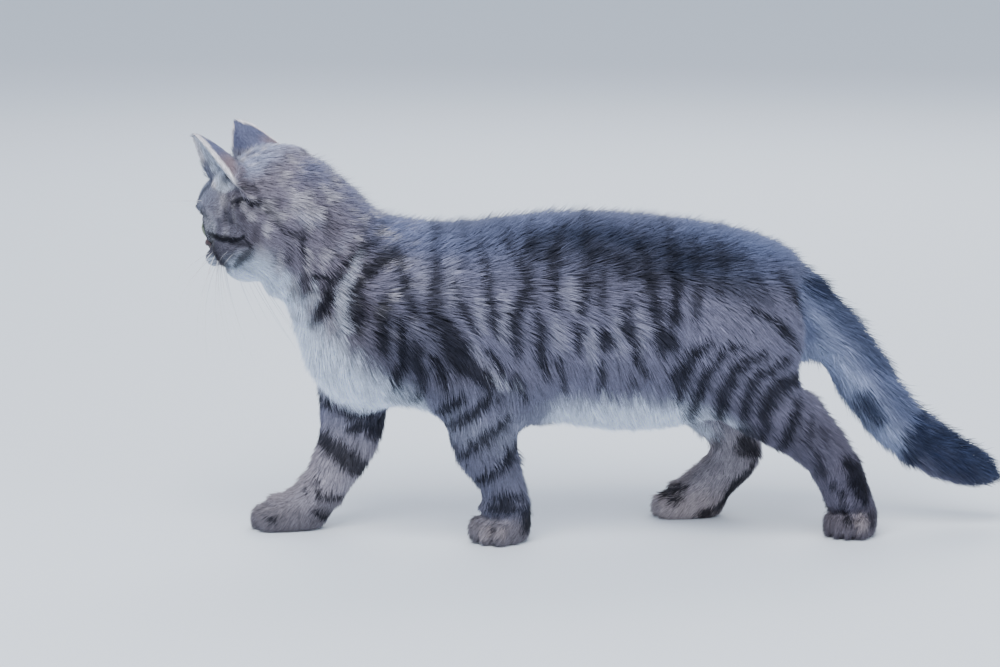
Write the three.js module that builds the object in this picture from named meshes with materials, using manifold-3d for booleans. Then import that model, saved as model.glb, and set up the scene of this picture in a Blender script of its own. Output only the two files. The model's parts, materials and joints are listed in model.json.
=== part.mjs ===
// A young tabby cat, about ten weeks old, in mid stride with its head turned away to its right.
// Millimetres, +Z up. The cat walks towards -X and its left side is -Y.
// Each solid reaches out to the tips of the coat. The body is first laid out from its own mid line,
// where the floor is z = 0, and the finished group is then centred over its footprint.

import * as THREE from 'three';
import { mergeVertices } from 'three/addons/utils/BufferGeometryUtils.js';
import Module from 'manifold-3d';

const wasm = await Module();
wasm.setup();

// Clearance between neighbouring parts, how near two corners are to be made one, and the radii over
// which parts of the body flow together.
const GAP = 0.3;
const WELD = 0.15;
const BODY_BLEND = 16;
const LIMB_BLEND = 12;
const HEAD_BLEND = 7;
const TOE_BLEND = 2.2;

// Sizes of the surface cells, fine where the form is small.
const CELL = { head: 5.4, neck: 9.5, trunk: 14, thigh: 10, limb: 8.2, paw: 4.8, tail: 10 };

// The head's middle, and how far it turns to the right, nods down and leans to the left.
const HEAD_MIDDLE = [-160, 4, 154.5];
const HEAD_REACH = 84;
const HEAD_TURN = THREE.MathUtils.degToRad(36);
const HEAD_NOD = THREE.MathUtils.degToRad(20);
const HEAD_LEAN = THREE.MathUtils.degToRad(6.5);

const EYE_RADIUS = 8.5;
const EYE_PLACE = { forward: 16.6, side: 13.2, up: 2.4 };
const NOSE_RADII = [3.8, 5.2, 3.8];
const NOSE_PLACE = [33.2, 0, -4.4];

const EAR = {
  base: [-3.5, 16, 13],
  tip: [7, 18, 45],
  facingTurn: THREE.MathUtils.degToRad(20),
  halfWidth: 15.5,
  footShare: 0.64,
  bow: 8.5,
  halfThickness: [1.6, 0.7],
};

// Strands run along smooth curves. Each knot is [x, y, z, half width, half height].
const SPINE = [
  [-103, 0, 103, 33, 38],
  [-86, 0, 105, 37, 44.5],
  [-55, 0, 104.5, 40.5, 48.5],
  [-18, 0, 103.5, 43, 52.5],
  [18, 0, 101, 43, 53],
  [46, 0, 101.5, 39, 48],
  [68, 1, 106, 33, 36.5],
  [80, 1, 108.5, 26, 26.5],
];
const NECK = [
  [-149, 4, 155, 26, 31],
  [-138, 2, 145, 28, 32.2],
  [-124, 1, 130, 31, 32.5],
  [-107, 0, 118.5, 34, 35],
];
const TAIL = [
  [66, 1, 114, 19, 21],
  [88, 1, 109, 16.5, 18],
  [109, 0, 96, 15.5, 16.3],
  [124, -1, 76.5, 15.5, 16.3],
  [139.5, -2, 54.5, 14.8, 15.5],
  [158, -3, 39, 13.6, 14.2],
  [176, -4, 29.2, 12.2, 12.6],
  [186, -5, 25.5, 9.5, 10],
];
const FORELEG = {
  left: [
    [-86, -19, 116, 15, 24],
    [-73, -25, 92, 16, 23],
    [-62, -24, 70, 15.5, 18.5],
    [-58.5, -22, 50, 14, 17],
    [-51, -20, 33, 12, 13.2],
    [-47.5, -18.5, 22, 11.5, 12],
    [-48.5, -17.5, 12, 12, 12.5],
  ],
  right: [
    [-106, 19, 112, 15, 24],
    [-111, 25, 88, 15.5, 21],
    [-116, 24, 66, 15, 18.5],
    [-118, 22, 46, 14.2, 16.3],
    [-126, 21, 29, 12.5, 13.6],
    [-134, 20.5, 17, 11.5, 11.3],
    [-142, 20.5, 11, 11, 10],
  ],
};
const HINDLEG = {
  left: [
    [68, -15, 116, 19, 25],
    [64, -24, 98, 20, 29],
    [65, -29, 80, 18, 25],
    [79, -29, 65, 16, 19.5],
    [94, -26, 51.5, 14, 15.5],
    [107, -24, 38, 12, 12.6],
    [114, -22.5, 24, 11.4, 12],
    [118, -21.5, 12, 11.2, 11.6],
  ],
  right: [
    [64, 15, 114, 19, 25],
    [48, 25, 94, 19, 27],
    [41, 30, 76, 17, 21],
    [55, 29.5, 58, 15, 17.5],
    [69.5, 28, 43, 13, 14],
    [71.5, 27.5, 32, 11.8, 12.3],
    [62, 27, 20.5, 11.3, 12],
    [52, 27, 13, 11.4, 11],
  ],
};
// Where each paw stands, and how far its toes turn outwards from the walking direction.
const PAW = {
  foreleg_left: { at: [-49.5, -17.5], outwards: 35, side: -1, length: 31, width: 25 },
  foreleg_right: { at: [-148, 20.5], outwards: 4, side: 1, length: 37, width: 25 },
  hindleg_left: { at: [118.5, -22], outwards: 58, side: -1, length: 30, width: 22.5 },
  hindleg_right: { at: [47.5, 27.5], outwards: 6, side: 1, length: 36, width: 23 },
};
const PAW_HEIGHT = 17.5;
const TOE_COUNT = 4;

// Colours and finish of the parts.
const COLOURS = {
  back: '#5d6076',
  flank: '#7f8296',
  belly: '#c9cbdc',
  face: '#8d8c9c',
  ear: '#a9a6b8',
  leg: '#87879a',
  paw: '#a39f9f',
  tailTip: '#3c4052',
  eye: '#1b2320',
  nose: '#8a5f5f',
};
const COAT_FINISH = { roughness: 0.95, metalness: 0 };
const WET_FINISH = { roughness: 0.15, metalness: 0 };

// ---- Fields: functions of x, y, z that are negative inside a form and about a distance outside ----

/** Distance to an ellipsoid about the origin, measured along the ray from its middle. */
function rayDistance(x, y, z, [rx, ry, rz]) {
  const reach = Math.hypot(x / rx, y / ry, z / rz);
  return reach < 1e-6 ? -Math.min(rx, ry, rz) : Math.hypot(x, y, z) * (1 - 1 / reach);
}

/** The field of an ellipsoid lump, placed in the axes of a frame. */
function lump(frame, centre, radii) {
  const toLocal = frame.clone().multiply(new THREE.Matrix4().makeTranslation(...centre)).invert();
  const point = new THREE.Vector3();
  return (x, y, z) => {
    point.set(x, y, z).applyMatrix4(toLocal);
    return rayDistance(point.x, point.y, point.z, radii);
  };
}

/** The field of a rounded limb that follows a smooth curve through its knots. */
function strand(knots, stepsPerKnot = 4) {
  const path = new THREE.CatmullRomCurve3(knots.map(([x, y, z]) => new THREE.Vector3(x, y, z)));
  const girth = new THREE.CatmullRomCurve3(
    knots.map(([, , , wide, tall]) => new THREE.Vector3(wide, tall, 0)),
    false,
    'catmullrom',
  );
  const count = (knots.length - 1) * stepsPerKnot;
  const stops = Array.from({ length: count + 1 }, (_, i) => ({
    at: path.getPoint(i / count),
    girth: girth.getPoint(i / count),
  }));
  return (x, y, z) => {
    let nearest = Infinity;
    for (let i = 0; i < count; i += 1) {
      const { at: a, girth: ga } = stops[i];
      const { at: b, girth: gb } = stops[i + 1];
      const [ux, uy, uz] = [b.x - a.x, b.y - a.y, b.z - a.z];
      const along = ((x - a.x) * ux + (y - a.y) * uy + (z - a.z) * uz) / (ux * ux + uy * uy + uz * uz);
      const t = Math.min(1, Math.max(0, along));
      const wide = ga.x + (gb.x - ga.x) * t;
      const tall = ga.y + (gb.y - ga.y) * t;
      const [dx, dy, dz] = [x - a.x - ux * t, y - a.y - uy * t, z - a.z - uz * t];
      nearest = Math.min(nearest, rayDistance(dx, dy, dz, [tall, wide, tall]));
    }
    return nearest;
  };
}

/** The smaller of two values, rounded where they are within `radius` of each other. */
function smoothMin(a, b, radius) {
  const overlap = Math.max(radius - Math.abs(a - b), 0) / radius;
  return Math.min(a, b) - (overlap * overlap * radius) / 4;
}

/** Joins fields so that they flow into each other. */
function join(radius, ...fields) {
  return (x, y, z) => fields.reduce((value, field) => smoothMin(value, field(x, y, z), radius), Infinity);
}

/** Hollows one field out by others, with soft rims. */
function hollow(radius, field, ...hollows) {
  return (x, y, z) =>
    hollows.reduce((value, cut) => -smoothMin(-value, cut(x, y, z), radius), field(x, y, z));
}

// ---- The head: axes forward, to its left, and up ----

const headForward = new THREE.Vector3(-Math.cos(HEAD_TURN), Math.sin(HEAD_TURN), 0);
const headLeft = new THREE.Vector3(-Math.sin(HEAD_TURN), -Math.cos(HEAD_TURN), 0);
const headFrame = new THREE.Matrix4()
  .makeBasis(headForward, headLeft, new THREE.Vector3(0, 0, 1))
  .multiply(new THREE.Matrix4().makeRotationY(HEAD_NOD))
  .multiply(new THREE.Matrix4().makeRotationX(-HEAD_LEAN))
  .setPosition(...HEAD_MIDDLE);

const inHead = (forward, side, up) => new THREE.Vector3(forward, side, up).applyMatrix4(headFrame);
const headLump = (centre, radii) => lump(headFrame, centre, radii);
const headPair = ([forward, side, up], radii) =>
  [1, -1].map((sign) => headLump([forward, sign * side, up], radii));

const headField = hollow(
  4.5,
  join(
    HEAD_BLEND,
    headLump([-4, 0, 5], [28.5, 27.5, 25]),
    headLump([-11, 0, -3], [21.5, 25, 19.5]),
    headLump([12, 0, 11], [17, 19.5, 14.5]),
    ...headPair([3.5, 15.5, -9.5], [17.5, 14, 14]),
    headLump([9, 0, -18.5], [19, 16.5, 11.5]),
    ...headPair([17, 11, 8.8], [9, 8.5, 6.5]),
    headLump([21.5, 0, 0], [10.5, 7, 9]),
    headLump([28.5, 0, -4.8], [6.6, 5.2, 5]),
    ...headPair([27.2, 7.4, -12], [8.6, 7.4, 6.8]),
    headLump([22, 0, -20.5], [9, 8, 5.5]),
  ),
  ...headPair([27.5, 16.5, 2], [6.5, 6.2, 5.8]),
);

// ---- The paws: axes towards the toes, to the paw's left, and up ----

/** The field of one paw: a pad body and a fan of toes, all sinking a little below the floor. */
function pawField({ at, outwards, side, length, width }) {
  const turn = THREE.MathUtils.degToRad(180 - side * outwards);
  const frame = new THREE.Matrix4().makeRotationZ(turn).setPosition(at[0], at[1], 0);
  const padMiddle = [-length * 0.08, 0, PAW_HEIGHT * 0.42];
  const pad = lump(frame, padMiddle, [length * 0.4, width * 0.46, PAW_HEIGHT * 0.54]);
  const toes = Array.from({ length: TOE_COUNT }, (_, i) => {
    const spread = i - (TOE_COUNT - 1) / 2;
    const forward = length * (0.3 - 0.045 * spread * spread);
    return lump(frame, [forward, spread * width * 0.235, 5.8], [length * 0.22, width * 0.16, 7]);
  });
  return join(4, pad, join(TOE_BLEND, ...toes));
}

// ---- The whole body, in groups that a part of it may need ----

const torso = join(
  BODY_BLEND,
  strand(SPINE),
  strand(NECK),
  lump(new THREE.Matrix4(), [-118, 0, 95], [24, 26, 29]),
);
const legField = (name, knots) => join(6, strand(knots), pawField(PAW[name]));
const body = {
  torso,
  head: headField,
  tail: strand(TAIL),
  foreleg_left: legField('foreleg_left', FORELEG.left),
  foreleg_right: legField('foreleg_right', FORELEG.right),
  hindleg_left: legField('hindleg_left', HINDLEG.left),
  hindleg_right: legField('hindleg_right', HINDLEG.right),
};
const fieldOf = (...groups) => join(LIMB_BLEND, ...groups.map((group) => body[group]));

// ---- Surfaces from fields ----

/** Moves a point onto the zero surface of a field, staying within half a cell of where it was. */
function settle(field, point, cell) {
  const start = point.clone();
  const step = 0.4;
  for (let round = 0; round < 3; round += 1) {
    const { x, y, z } = point;
    const value = field(x, y, z);
    const slope = new THREE.Vector3(
      field(x + step, y, z) - field(x - step, y, z),
      field(x, y + step, z) - field(x, y - step, z),
      field(x, y, z + step) - field(x, y, z - step),
    ).divideScalar(2 * step);
    point.addScaledVector(slope, -value / Math.max(slope.lengthSq(), 0.1));
  }
  const reach = new THREE.Vector3().setScalar(cell * 0.5);
  return point.clamp(start.clone().sub(reach), start.clone().add(reach));
}

/** The closed surface where a field is zero within a box, as one vertex in each crossed cell. */
function surfaceNet(field, box, cell) {
  const count = box.getSize(new THREE.Vector3()).divideScalar(cell).ceil().addScalar(2);
  const [nx, ny, nz] = count.toArray();
  const index = (i, j, k) => (k * ny + j) * nx + i;
  const onRim = (i, j, k) => i === 0 || j === 0 || k === 0 || i === nx - 1 || j === ny - 1 || k === nz - 1;
  const values = new Float64Array(nx * ny * nz);
  for (let k = 0; k < nz; k += 1) {
    for (let j = 0; j < ny; j += 1) {
      for (let i = 0; i < nx; i += 1) {
        const { x, y, z } = box.min;
        const value = field(x + (i - 0.5) * cell, y + (j - 0.5) * cell, z + (k - 0.5) * cell);
        values[index(i, j, k)] = onRim(i, j, k) ? Math.max(value, cell / 2) : value;
      }
    }
  }

  const corners = [0, 1, 2, 3, 4, 5, 6, 7].map((n) => [n & 1, (n >> 1) & 1, n >> 2]);
  const areNeighbours = (a, b) => Math.hypot(a[0] - b[0], a[1] - b[1], a[2] - b[2]) === 1;
  const edges = corners.flatMap((a, m) =>
    corners.slice(m + 1).filter((b) => areNeighbours(a, b)).map((b) => [a, b]),
  );
  const positions = [];
  const vertexOf = new Map();
  /** The vertex of one cell, made when it is first asked for. */
  const vertex = (i, j, k) => {
    const key = index(i, j, k);
    if (!vertexOf.has(key)) {
      const middle = new THREE.Vector3();
      let crossings = 0;
      for (const [a, b] of edges) {
        const va = values[index(i + a[0], j + a[1], k + a[2])];
        const vb = values[index(i + b[0], j + b[1], k + b[2])];
        if (va < 0 !== vb < 0) {
          const t = va / (va - vb);
          middle.add(new THREE.Vector3(...a.map((start, n) => start + (b[n] - start) * t)));
          crossings += 1;
        }
      }
      middle.divideScalar(crossings).add(new THREE.Vector3(i - 0.5, j - 0.5, k - 0.5));
      middle.multiplyScalar(cell).add(box.min);
      const atRim = corners.some(([a, b, c]) => onRim(i + a, j + b, k + c));
      positions.push(...(atRim ? middle : settle(field, middle, cell)).toArray());
      vertexOf.set(key, vertexOf.size);
    }
    return vertexOf.get(key);
  };

  const triangles = [];
  const axes = [[1, 0, 0], [0, 1, 0], [0, 0, 1]];
  const corner = (n) => new THREE.Vector3().fromArray(positions, 3 * n);
  for (let k = 0; k < nz - 1; k += 1) {
    for (let j = 0; j < ny - 1; j += 1) {
      for (let i = 0; i < nx - 1; i += 1) {
        axes.forEach(([a, b, c], axis) => {
          const inside = values[index(i, j, k)] < 0;
          if (inside === values[index(i + a, j + b, k + c)] < 0) return;
          const u = axes[(axis + 1) % 3];
          const v = axes[(axis + 2) % 3];
          const ring = [[1, 1], [0, 1], [0, 0], [1, 0]].map(([p, q]) =>
            vertex(i - p * u[0] - q * v[0], j - p * u[1] - q * v[1], k - p * u[2] - q * v[2]),
          );
          if (inside) ring.reverse();
          const [q0, q1, q2, q3] = ring;
          const firstIsShort = corner(q0).distanceTo(corner(q2)) < corner(q1).distanceTo(corner(q3));
          triangles.push(...(firstIsShort ? [q0, q2, q1, q0, q3, q2] : [q1, q3, q2, q1, q0, q3]));
        });
      }
    }
  }
  const geometry = new THREE.BufferGeometry();
  geometry.setAttribute('position', new THREE.Float32BufferAttribute(positions, 3));
  geometry.setIndex(triangles);
  return geometry;
}

// ---- Solids: joining and cutting ----

/** A closed geometry as a solid. */
function toSolid(geometry) {
  const bare = geometry.clone();
  bare.deleteAttribute('normal');
  bare.deleteAttribute('uv');
  const merged = mergeVertices(bare, 1e-4);
  const mesh = new wasm.Mesh({
    numProp: 3,
    vertProperties: Float32Array.from(merged.attributes.position.array),
    triVerts: Uint32Array.from(merged.index.array),
  });
  return new wasm.Manifold(mesh);
}

/** A solid as a geometry with flat facets; corners that cutting leaves almost touching are made one. */
function toGeometry(solid) {
  const { vertProperties, triVerts } = solid.asOriginal().getMesh();
  const corners = [];
  const cornerOf = [];
  for (let n = 0; n < vertProperties.length; n += 3) {
    const point = new THREE.Vector3().fromArray(vertProperties, n);
    const found = corners.findIndex((corner) => corner.distanceTo(point) < WELD);
    cornerOf.push(found < 0 ? corners.push(point) - 1 : found);
  }
  const triangles = [];
  for (let n = 0; n < triVerts.length; n += 3) {
    const [a, b, c] = Array.from(triVerts.slice(n, n + 3), (index) => cornerOf[index]);
    if (a !== b && b !== c && c !== a) triangles.push(a, b, c);
  }
  const geometry = new THREE.BufferGeometry().setFromPoints(corners);
  geometry.setIndex(triangles);
  geometry.computeVertexNormals();
  return geometry;
}

/** Keeps what lies ahead of every plane, each a point and a direction, moved ahead by `margin`. */
function keepAhead(solid, planes, margin) {
  return planes.reduce((rest, [point, direction]) => {
    const normal = new THREE.Vector3(...direction).normalize();
    return rest.trimByPlane(normal.toArray(), normal.dot(new THREE.Vector3(...point)) + margin);
  }, solid);
}

/** The largest connected piece of a solid. */
const largestPiece = (solid) => solid.decompose().reduce((a, b) => (a.volume() > b.volume() ? a : b));

/** The part of a box ahead of every plane, widened by the clearance, as a solid to cut with. */
function spaceAhead(box, planes) {
  const centre = box.getCenter(new THREE.Vector3());
  const block = new THREE.BoxGeometry(...box.getSize(new THREE.Vector3()).toArray());
  return keepAhead(toSolid(block.translate(...centre.toArray())), planes, -GAP / 2);
}

// ---- Where the body is parted ----

const flip = ([point, direction]) => [point, direction.map((value) => -value)];
const HEAD_CUT = [inHead(-15, 0, 0).toArray(), [-0.8, 0.35, 0.12]];
const NECK_CUT = [[-121, 1, 127], [-0.75, 0, 0.66]];
const CHEST_CUT = [[-38, 0, 100], [1, 0, 0.05]];
const BELLY_CUT = [[36, 0, 100], [1, 0, 0]];
const TAIL_CUT = [[88, 1, 110], [0.98, 0, -0.22]];
const TAIL_BREAKS = [
  [[117, 0, 87], [0.6, 0, -0.8]],
  [[150, -2.5, 45], [0.75, 0, -0.66]],
];
const FLOOR = [[0, 0, 0], [0, 0, 1]];

const LEG_CUTS = {
  foreleg_left: {
    top: [[[-62, -4, 57], [0, -0.62, -0.785]], [[-28, 0, 50], [-1, 0, 0]]],
    paw: [[-48, -19, 21], [0.05, 0, -1]],
  },
  foreleg_right: {
    top: [[[-116, 4, 60], [0, 0.62, -0.785]], [[-96, 0, 50], [-1, 0, 0.1]]],
    paw: [[-131.5, 20, 21], [-0.55, 0, -0.84]],
  },
  hindleg_left: {
    thigh: [[[60, -15, 60], [0, -0.97, -0.24]], [[34, 0, 70], [0.97, 0, 0.24]]],
    knee: [[74, -28, 66], [0.6, 0, -0.8]],
    foot: [[108.5, -24, 36], [0.35, 0, -0.94]],
  },
  hindleg_right: {
    thigh: [[[50, 16, 60], [0, 0.97, -0.24]], [[16, 0, 70], [0.97, 0, 0.24]]],
    knee: [[47, 30, 62], [0.45, 0, -0.89]],
    foot: [[71.5, 27, 34], [-0.2, 0, -0.98]],
  },
};

/** Each part of the coat: the groups that shape it, its cell, colour, box, and where it is parted. */
const COAT_PARTS = [
  ...['left', 'right'].flatMap((side) => {
    const name = `foreleg_${side}`;
    const { top, paw } = LEG_CUTS[name];
    const [x, y] = PAW[name].at;
    const groups = ['torso', name];
    const bounds = [[x - 40, y - 36, -5], [x + 60, y + 36, 112]];
    return [
      {
        name: `forepaw_${side}`, limb: name, groups, cell: CELL.paw, colour: COLOURS.paw,
        bounds, ahead: [...top, paw],
      },
      {
        name, limb: name, groups, cell: CELL.limb, colour: COLOURS.leg,
        bounds, ahead: [...top, flip(paw)],
      },
    ];
  }),
  ...['left', 'right'].flatMap((side) => {
    const name = `hindleg_${side}`;
    const { thigh, knee, foot } = LEG_CUTS[name];
    const [x, y] = PAW[name].at;
    const groups = ['torso', name];
    const low = [[x - 90, y - 36, -5], [x + 50, y + 32, 75]];
    const high = [[-12, y - 34, 20], [118, y + 34, 150]];
    return [
      {
        name: `hindfoot_${side}`, limb: name, groups: [name], cell: CELL.paw, colour: COLOURS.paw,
        bounds: low, ahead: [foot],
      },
      {
        name: `shank_${side}`, limb: name, groups, cell: CELL.limb, colour: COLOURS.leg,
        bounds: low, ahead: [...thigh, knee, flip(foot)],
      },
      {
        name: `thigh_${side}`, limb: name, groups, cell: CELL.thigh, colour: COLOURS.leg,
        bounds: high, ahead: [...thigh, flip(knee)],
      },
    ];
  }),
  {
    name: 'tail_base', groups: ['torso', 'tail'], yieldsTo: ['thigh_left', 'thigh_right'],
    cell: CELL.tail, colour: COLOURS.back,
    bounds: [[60, -40, 50], [160, 40, 150]], ahead: [TAIL_CUT, flip(TAIL_BREAKS[0])],
  },
  {
    name: 'tail_middle', groups: ['tail'], cell: CELL.tail, colour: COLOURS.flank,
    bounds: [[90, -30, 10], [190, 30, 120]], ahead: [TAIL_BREAKS[0], flip(TAIL_BREAKS[1])],
  },
  {
    name: 'tail_tip', groups: ['tail'], cell: CELL.tail, colour: COLOURS.tailTip,
    bounds: [[130, -30, 0], [215, 30, 70]], ahead: [TAIL_BREAKS[1]],
  },
  {
    name: 'neck', groups: ['torso', 'head'], cell: CELL.neck, colour: COLOURS.flank,
    bounds: [[-200, -50, 80], [-75, 60, 205]], ahead: [NECK_CUT, flip(HEAD_CUT)],
  },
  {
    name: 'chest', groups: ['torso', 'foreleg_left', 'foreleg_right'],
    cell: CELL.trunk, colour: COLOURS.flank,
    bounds: [[-175, -60, 15], [-15, 60, 175]], ahead: [flip(NECK_CUT), flip(CHEST_CUT)],
  },
  {
    name: 'belly', groups: ['torso', 'foreleg_left', 'hindleg_right', 'hindleg_left'], cell: CELL.trunk,
    colour: COLOURS.belly, bounds: [[-62, -60, 15], [60, 60, 175]], ahead: [CHEST_CUT, flip(BELLY_CUT)],
  },
  {
    name: 'rump', groups: ['torso', 'hindleg_left', 'hindleg_right', 'tail'],
    cell: CELL.trunk, colour: COLOURS.back,
    bounds: [[12, -60, 15], [125, 60, 175]], ahead: [BELLY_CUT, flip(TAIL_CUT)],
  },
];

const boxOf = ({ bounds }) => new THREE.Box3(...bounds.map((corner) => new THREE.Vector3(...corner)));

/** The solid of one part of the coat, or the same solid grown outwards. */
function carve(part, grow = 0) {
  const field = fieldOf(...part.groups);
  const surface = surfaceNet((x, y, z) => field(x, y, z) - grow, boxOf(part), part.cell);
  return keepAhead(toSolid(surface), part.ahead, GAP / 2 - grow);
}

/** Cuts every part of the coat from the body. The trunk and tail give way to the limbs that join them. */
function coatSolids() {
  const limbs = COAT_PARTS.filter(({ limb }) => limb);
  return COAT_PARTS.map((part) => {
    const { name, limb, groups, yieldsTo = [], colour } = part;
    const spaces = limb ? [] : limbs.filter((other) => groups.includes(other.limb));
    const cutters = [
      ...spaces.map((other) => spaceAhead(boxOf(other), other.ahead)),
      ...yieldsTo.map((wanted) => carve(limbs.find((other) => other.name === wanted), GAP)),
    ];
    const solid = cutters.reduce((rest, cutter) => rest.subtract(cutter), carve(part));
    return { name, colour, finish: COAT_FINISH, solid: largestPiece(keepAhead(solid, [FLOOR], 0)) };
  });
}

// ---- The parts of the face ----

/** A ball stretched to its radii in the head's axes. */
function headBall(place, radii, segments) {
  const ball = new THREE.SphereGeometry(1, segments, Math.round(segments * 0.6)).scale(...radii);
  return ball.applyMatrix4(headFrame.clone().multiply(new THREE.Matrix4().makeTranslation(...place)));
}

/** One ear: a cupped leaf, thick at its root and thin at its rim, shaped from a sphere. */
function earGeometry(side) {
  const mirror = ([forward, left, up]) => inHead(forward, side * left, up);
  const base = mirror(EAR.base);
  const up = mirror(EAR.tip).sub(base);
  const height = up.length();
  up.normalize();
  const facing = mirror([Math.cos(EAR.facingTurn), Math.sin(EAR.facingTurn), 0]).sub(inHead(0, 0, 0));
  facing.addScaledVector(up, -facing.dot(up)).normalize();
  const across = new THREE.Vector3().crossVectors(up, facing);
  const leaf = new THREE.SphereGeometry(1, 14, 9);
  const rows = leaf.parameters.heightSegments;
  const point = new THREE.Vector3();
  const { position } = leaf.attributes;
  for (let i = 0; i < position.count; i += 1) {
    point.fromBufferAttribute(position, i);
    const row = (Math.acos(-point.y) / Math.PI) * rows;
    const t = Math.max(0, row - 1) / (rows - 1);
    const atPole = row < 0.5 || row > rows - 0.5;
    const turn = Math.atan2(point.z, point.x);
    const foot = THREE.MathUtils.lerp(EAR.footShare, 1, Math.min(1, t / 0.4));
    const halfWidth = EAR.halfWidth * foot * (1 - t) ** 0.58 * (1 + 0.15 * t);
    const bow = EAR.bow * (1 - t) ** 0.8 * Math.sin(turn) ** 2;
    const thickness = THREE.MathUtils.lerp(...EAR.halfThickness, t) * Math.sin(turn);
    const place = base.clone().addScaledVector(up, t * height);
    if (!atPole) {
      place.addScaledVector(across, halfWidth * Math.cos(turn));
      place.addScaledVector(facing, thickness - bow);
    }
    position.setXYZ(i, ...place.toArray());
  }
  return leaf;
}

/** Adds the eyes, nose and ears, and fits them into the head. */
function headSolids() {
  const box = new THREE.Box3().setFromCenterAndSize(
    new THREE.Vector3(...HEAD_MIDDLE),
    new THREE.Vector3().setScalar(HEAD_REACH),
  );
  const field = fieldOf('torso', 'head');
  const grownHead = toSolid(surfaceNet((x, y, z) => field(x, y, z) - GAP, box, CELL.head));
  let head = keepAhead(toSolid(surfaceNet(field, box, CELL.head)), [HEAD_CUT], GAP / 2);

  const pieces = [];
  for (const [name, side] of [['left', 1], ['right', -1]]) {
    const place = [EYE_PLACE.forward, side * EYE_PLACE.side, EYE_PLACE.up];
    const ball = (radius) => toSolid(headBall(place, [radius, radius, radius], 16));
    head = head.subtract(ball(EYE_RADIUS + GAP));
    pieces.push({ name: `eye_${name}`, colour: COLOURS.eye, finish: WET_FINISH, solid: ball(EYE_RADIUS) });
    const ear = toSolid(earGeometry(side)).subtract(grownHead);
    const finish = COAT_FINISH;
    pieces.push({ name: `ear_${name}`, colour: COLOURS.ear, finish, solid: largestPiece(ear) });
  }
  const nose = (grow) => toSolid(headBall(NOSE_PLACE, NOSE_RADII.map((radius) => radius + grow), 10));
  head = head.subtract(nose(GAP));
  pieces.push({ name: 'nose', colour: COLOURS.nose, finish: WET_FINISH, solid: nose(0) });
  pieces.push({ name: 'head', colour: COLOURS.face, finish: COAT_FINISH, solid: largestPiece(head) });
  return pieces;
}

// ---- The finished cat ----

const cat = new THREE.Group();
for (const { name, colour, finish, solid } of [...headSolids(), ...coatSolids()]) {
  const material = new THREE.MeshStandardMaterial({ color: colour, ...finish });
  const mesh = new THREE.Mesh(toGeometry(solid), material);
  mesh.name = name;
  cat.add(mesh);
}
const bounds = new THREE.Box3().setFromObject(cat);
const middle = bounds.getCenter(new THREE.Vector3());
cat.position.set(-middle.x, -middle.y, -bounds.min.z);

export default cat;
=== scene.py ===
"""A young tabby cat in mid stride: skin, eyes, nose, whiskers and a coat of solid tufts.

Everything is worked out in millimetres and made in metres, +Z up. The cat walks towards -X and its
left side faces -Y. The head and each paw have axes of their own: ahead, to the left, and up.
"""
import json
import logging
import math
from dataclasses import dataclass
from typing import Callable, Iterable

import bmesh
import bpy
import numpy as np
from bmesh.types import BMEdge, BMesh, BMVert
from bpy.types import Material, Mesh, NodeSocket, Object
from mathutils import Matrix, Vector
from mathutils.bvhtree import BVHTree


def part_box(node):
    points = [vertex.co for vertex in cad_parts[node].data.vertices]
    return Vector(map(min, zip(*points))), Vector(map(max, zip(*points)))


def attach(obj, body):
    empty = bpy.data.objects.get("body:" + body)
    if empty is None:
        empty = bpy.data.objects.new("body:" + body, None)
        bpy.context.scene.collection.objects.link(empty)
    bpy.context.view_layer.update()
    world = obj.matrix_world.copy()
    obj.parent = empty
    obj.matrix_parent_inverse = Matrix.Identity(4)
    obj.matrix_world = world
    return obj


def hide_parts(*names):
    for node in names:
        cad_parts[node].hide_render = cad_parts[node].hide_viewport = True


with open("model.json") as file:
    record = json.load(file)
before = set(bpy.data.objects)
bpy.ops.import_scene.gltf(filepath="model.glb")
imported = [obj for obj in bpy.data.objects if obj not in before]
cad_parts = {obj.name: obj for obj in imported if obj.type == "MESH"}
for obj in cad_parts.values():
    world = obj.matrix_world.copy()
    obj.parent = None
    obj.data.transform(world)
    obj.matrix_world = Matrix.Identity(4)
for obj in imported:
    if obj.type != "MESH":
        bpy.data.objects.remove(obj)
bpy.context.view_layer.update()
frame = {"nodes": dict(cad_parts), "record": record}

MM = 0.001
SEED = 11
log = logging.getLogger("cat")

Array = np.ndarray
Points = np.ndarray
Colour = tuple[float, float, float]
Field = Callable[[Points], Array]


# ---- Numbers over points ----


def ease(low: float, high: float, value: Array) -> Array:
    """A smooth step from 0 at `low` to 1 at `high`."""
    t = np.clip((value - low) / (high - low), 0, 1)
    return t * t * (3 - 2 * t)


def mix(a: Array, b: Array, share: Array) -> Array:
    """Moves the rows of `a` towards `b` by a share for each row."""
    return a + (np.asarray(b) - a) * np.asarray(share)[:, None]


def layered(colour: Array, *layers: tuple[Colour | Array, Array]) -> Array:
    """Lays tones over each row's colour, one after another, each by a share for each row."""
    for tone, share in layers:
        colour = mix(colour, tone, share)
    return colour


def filled(colour: Colour, count: int) -> Array:
    """The same colour in every row."""
    return np.tile(np.array(colour), (count, 1))


def unit(vectors: Array) -> Array:
    """Vectors made one long."""
    return vectors / np.maximum(np.linalg.norm(vectors, axis=-1, keepdims=True), 1e-9)


def on_surface(vectors: Array, normals: Array) -> Array:
    """Directions laid down along a surface with the given normals."""
    return unit(vectors - normals * np.sum(vectors * normals, axis=1, keepdims=True))


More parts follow.
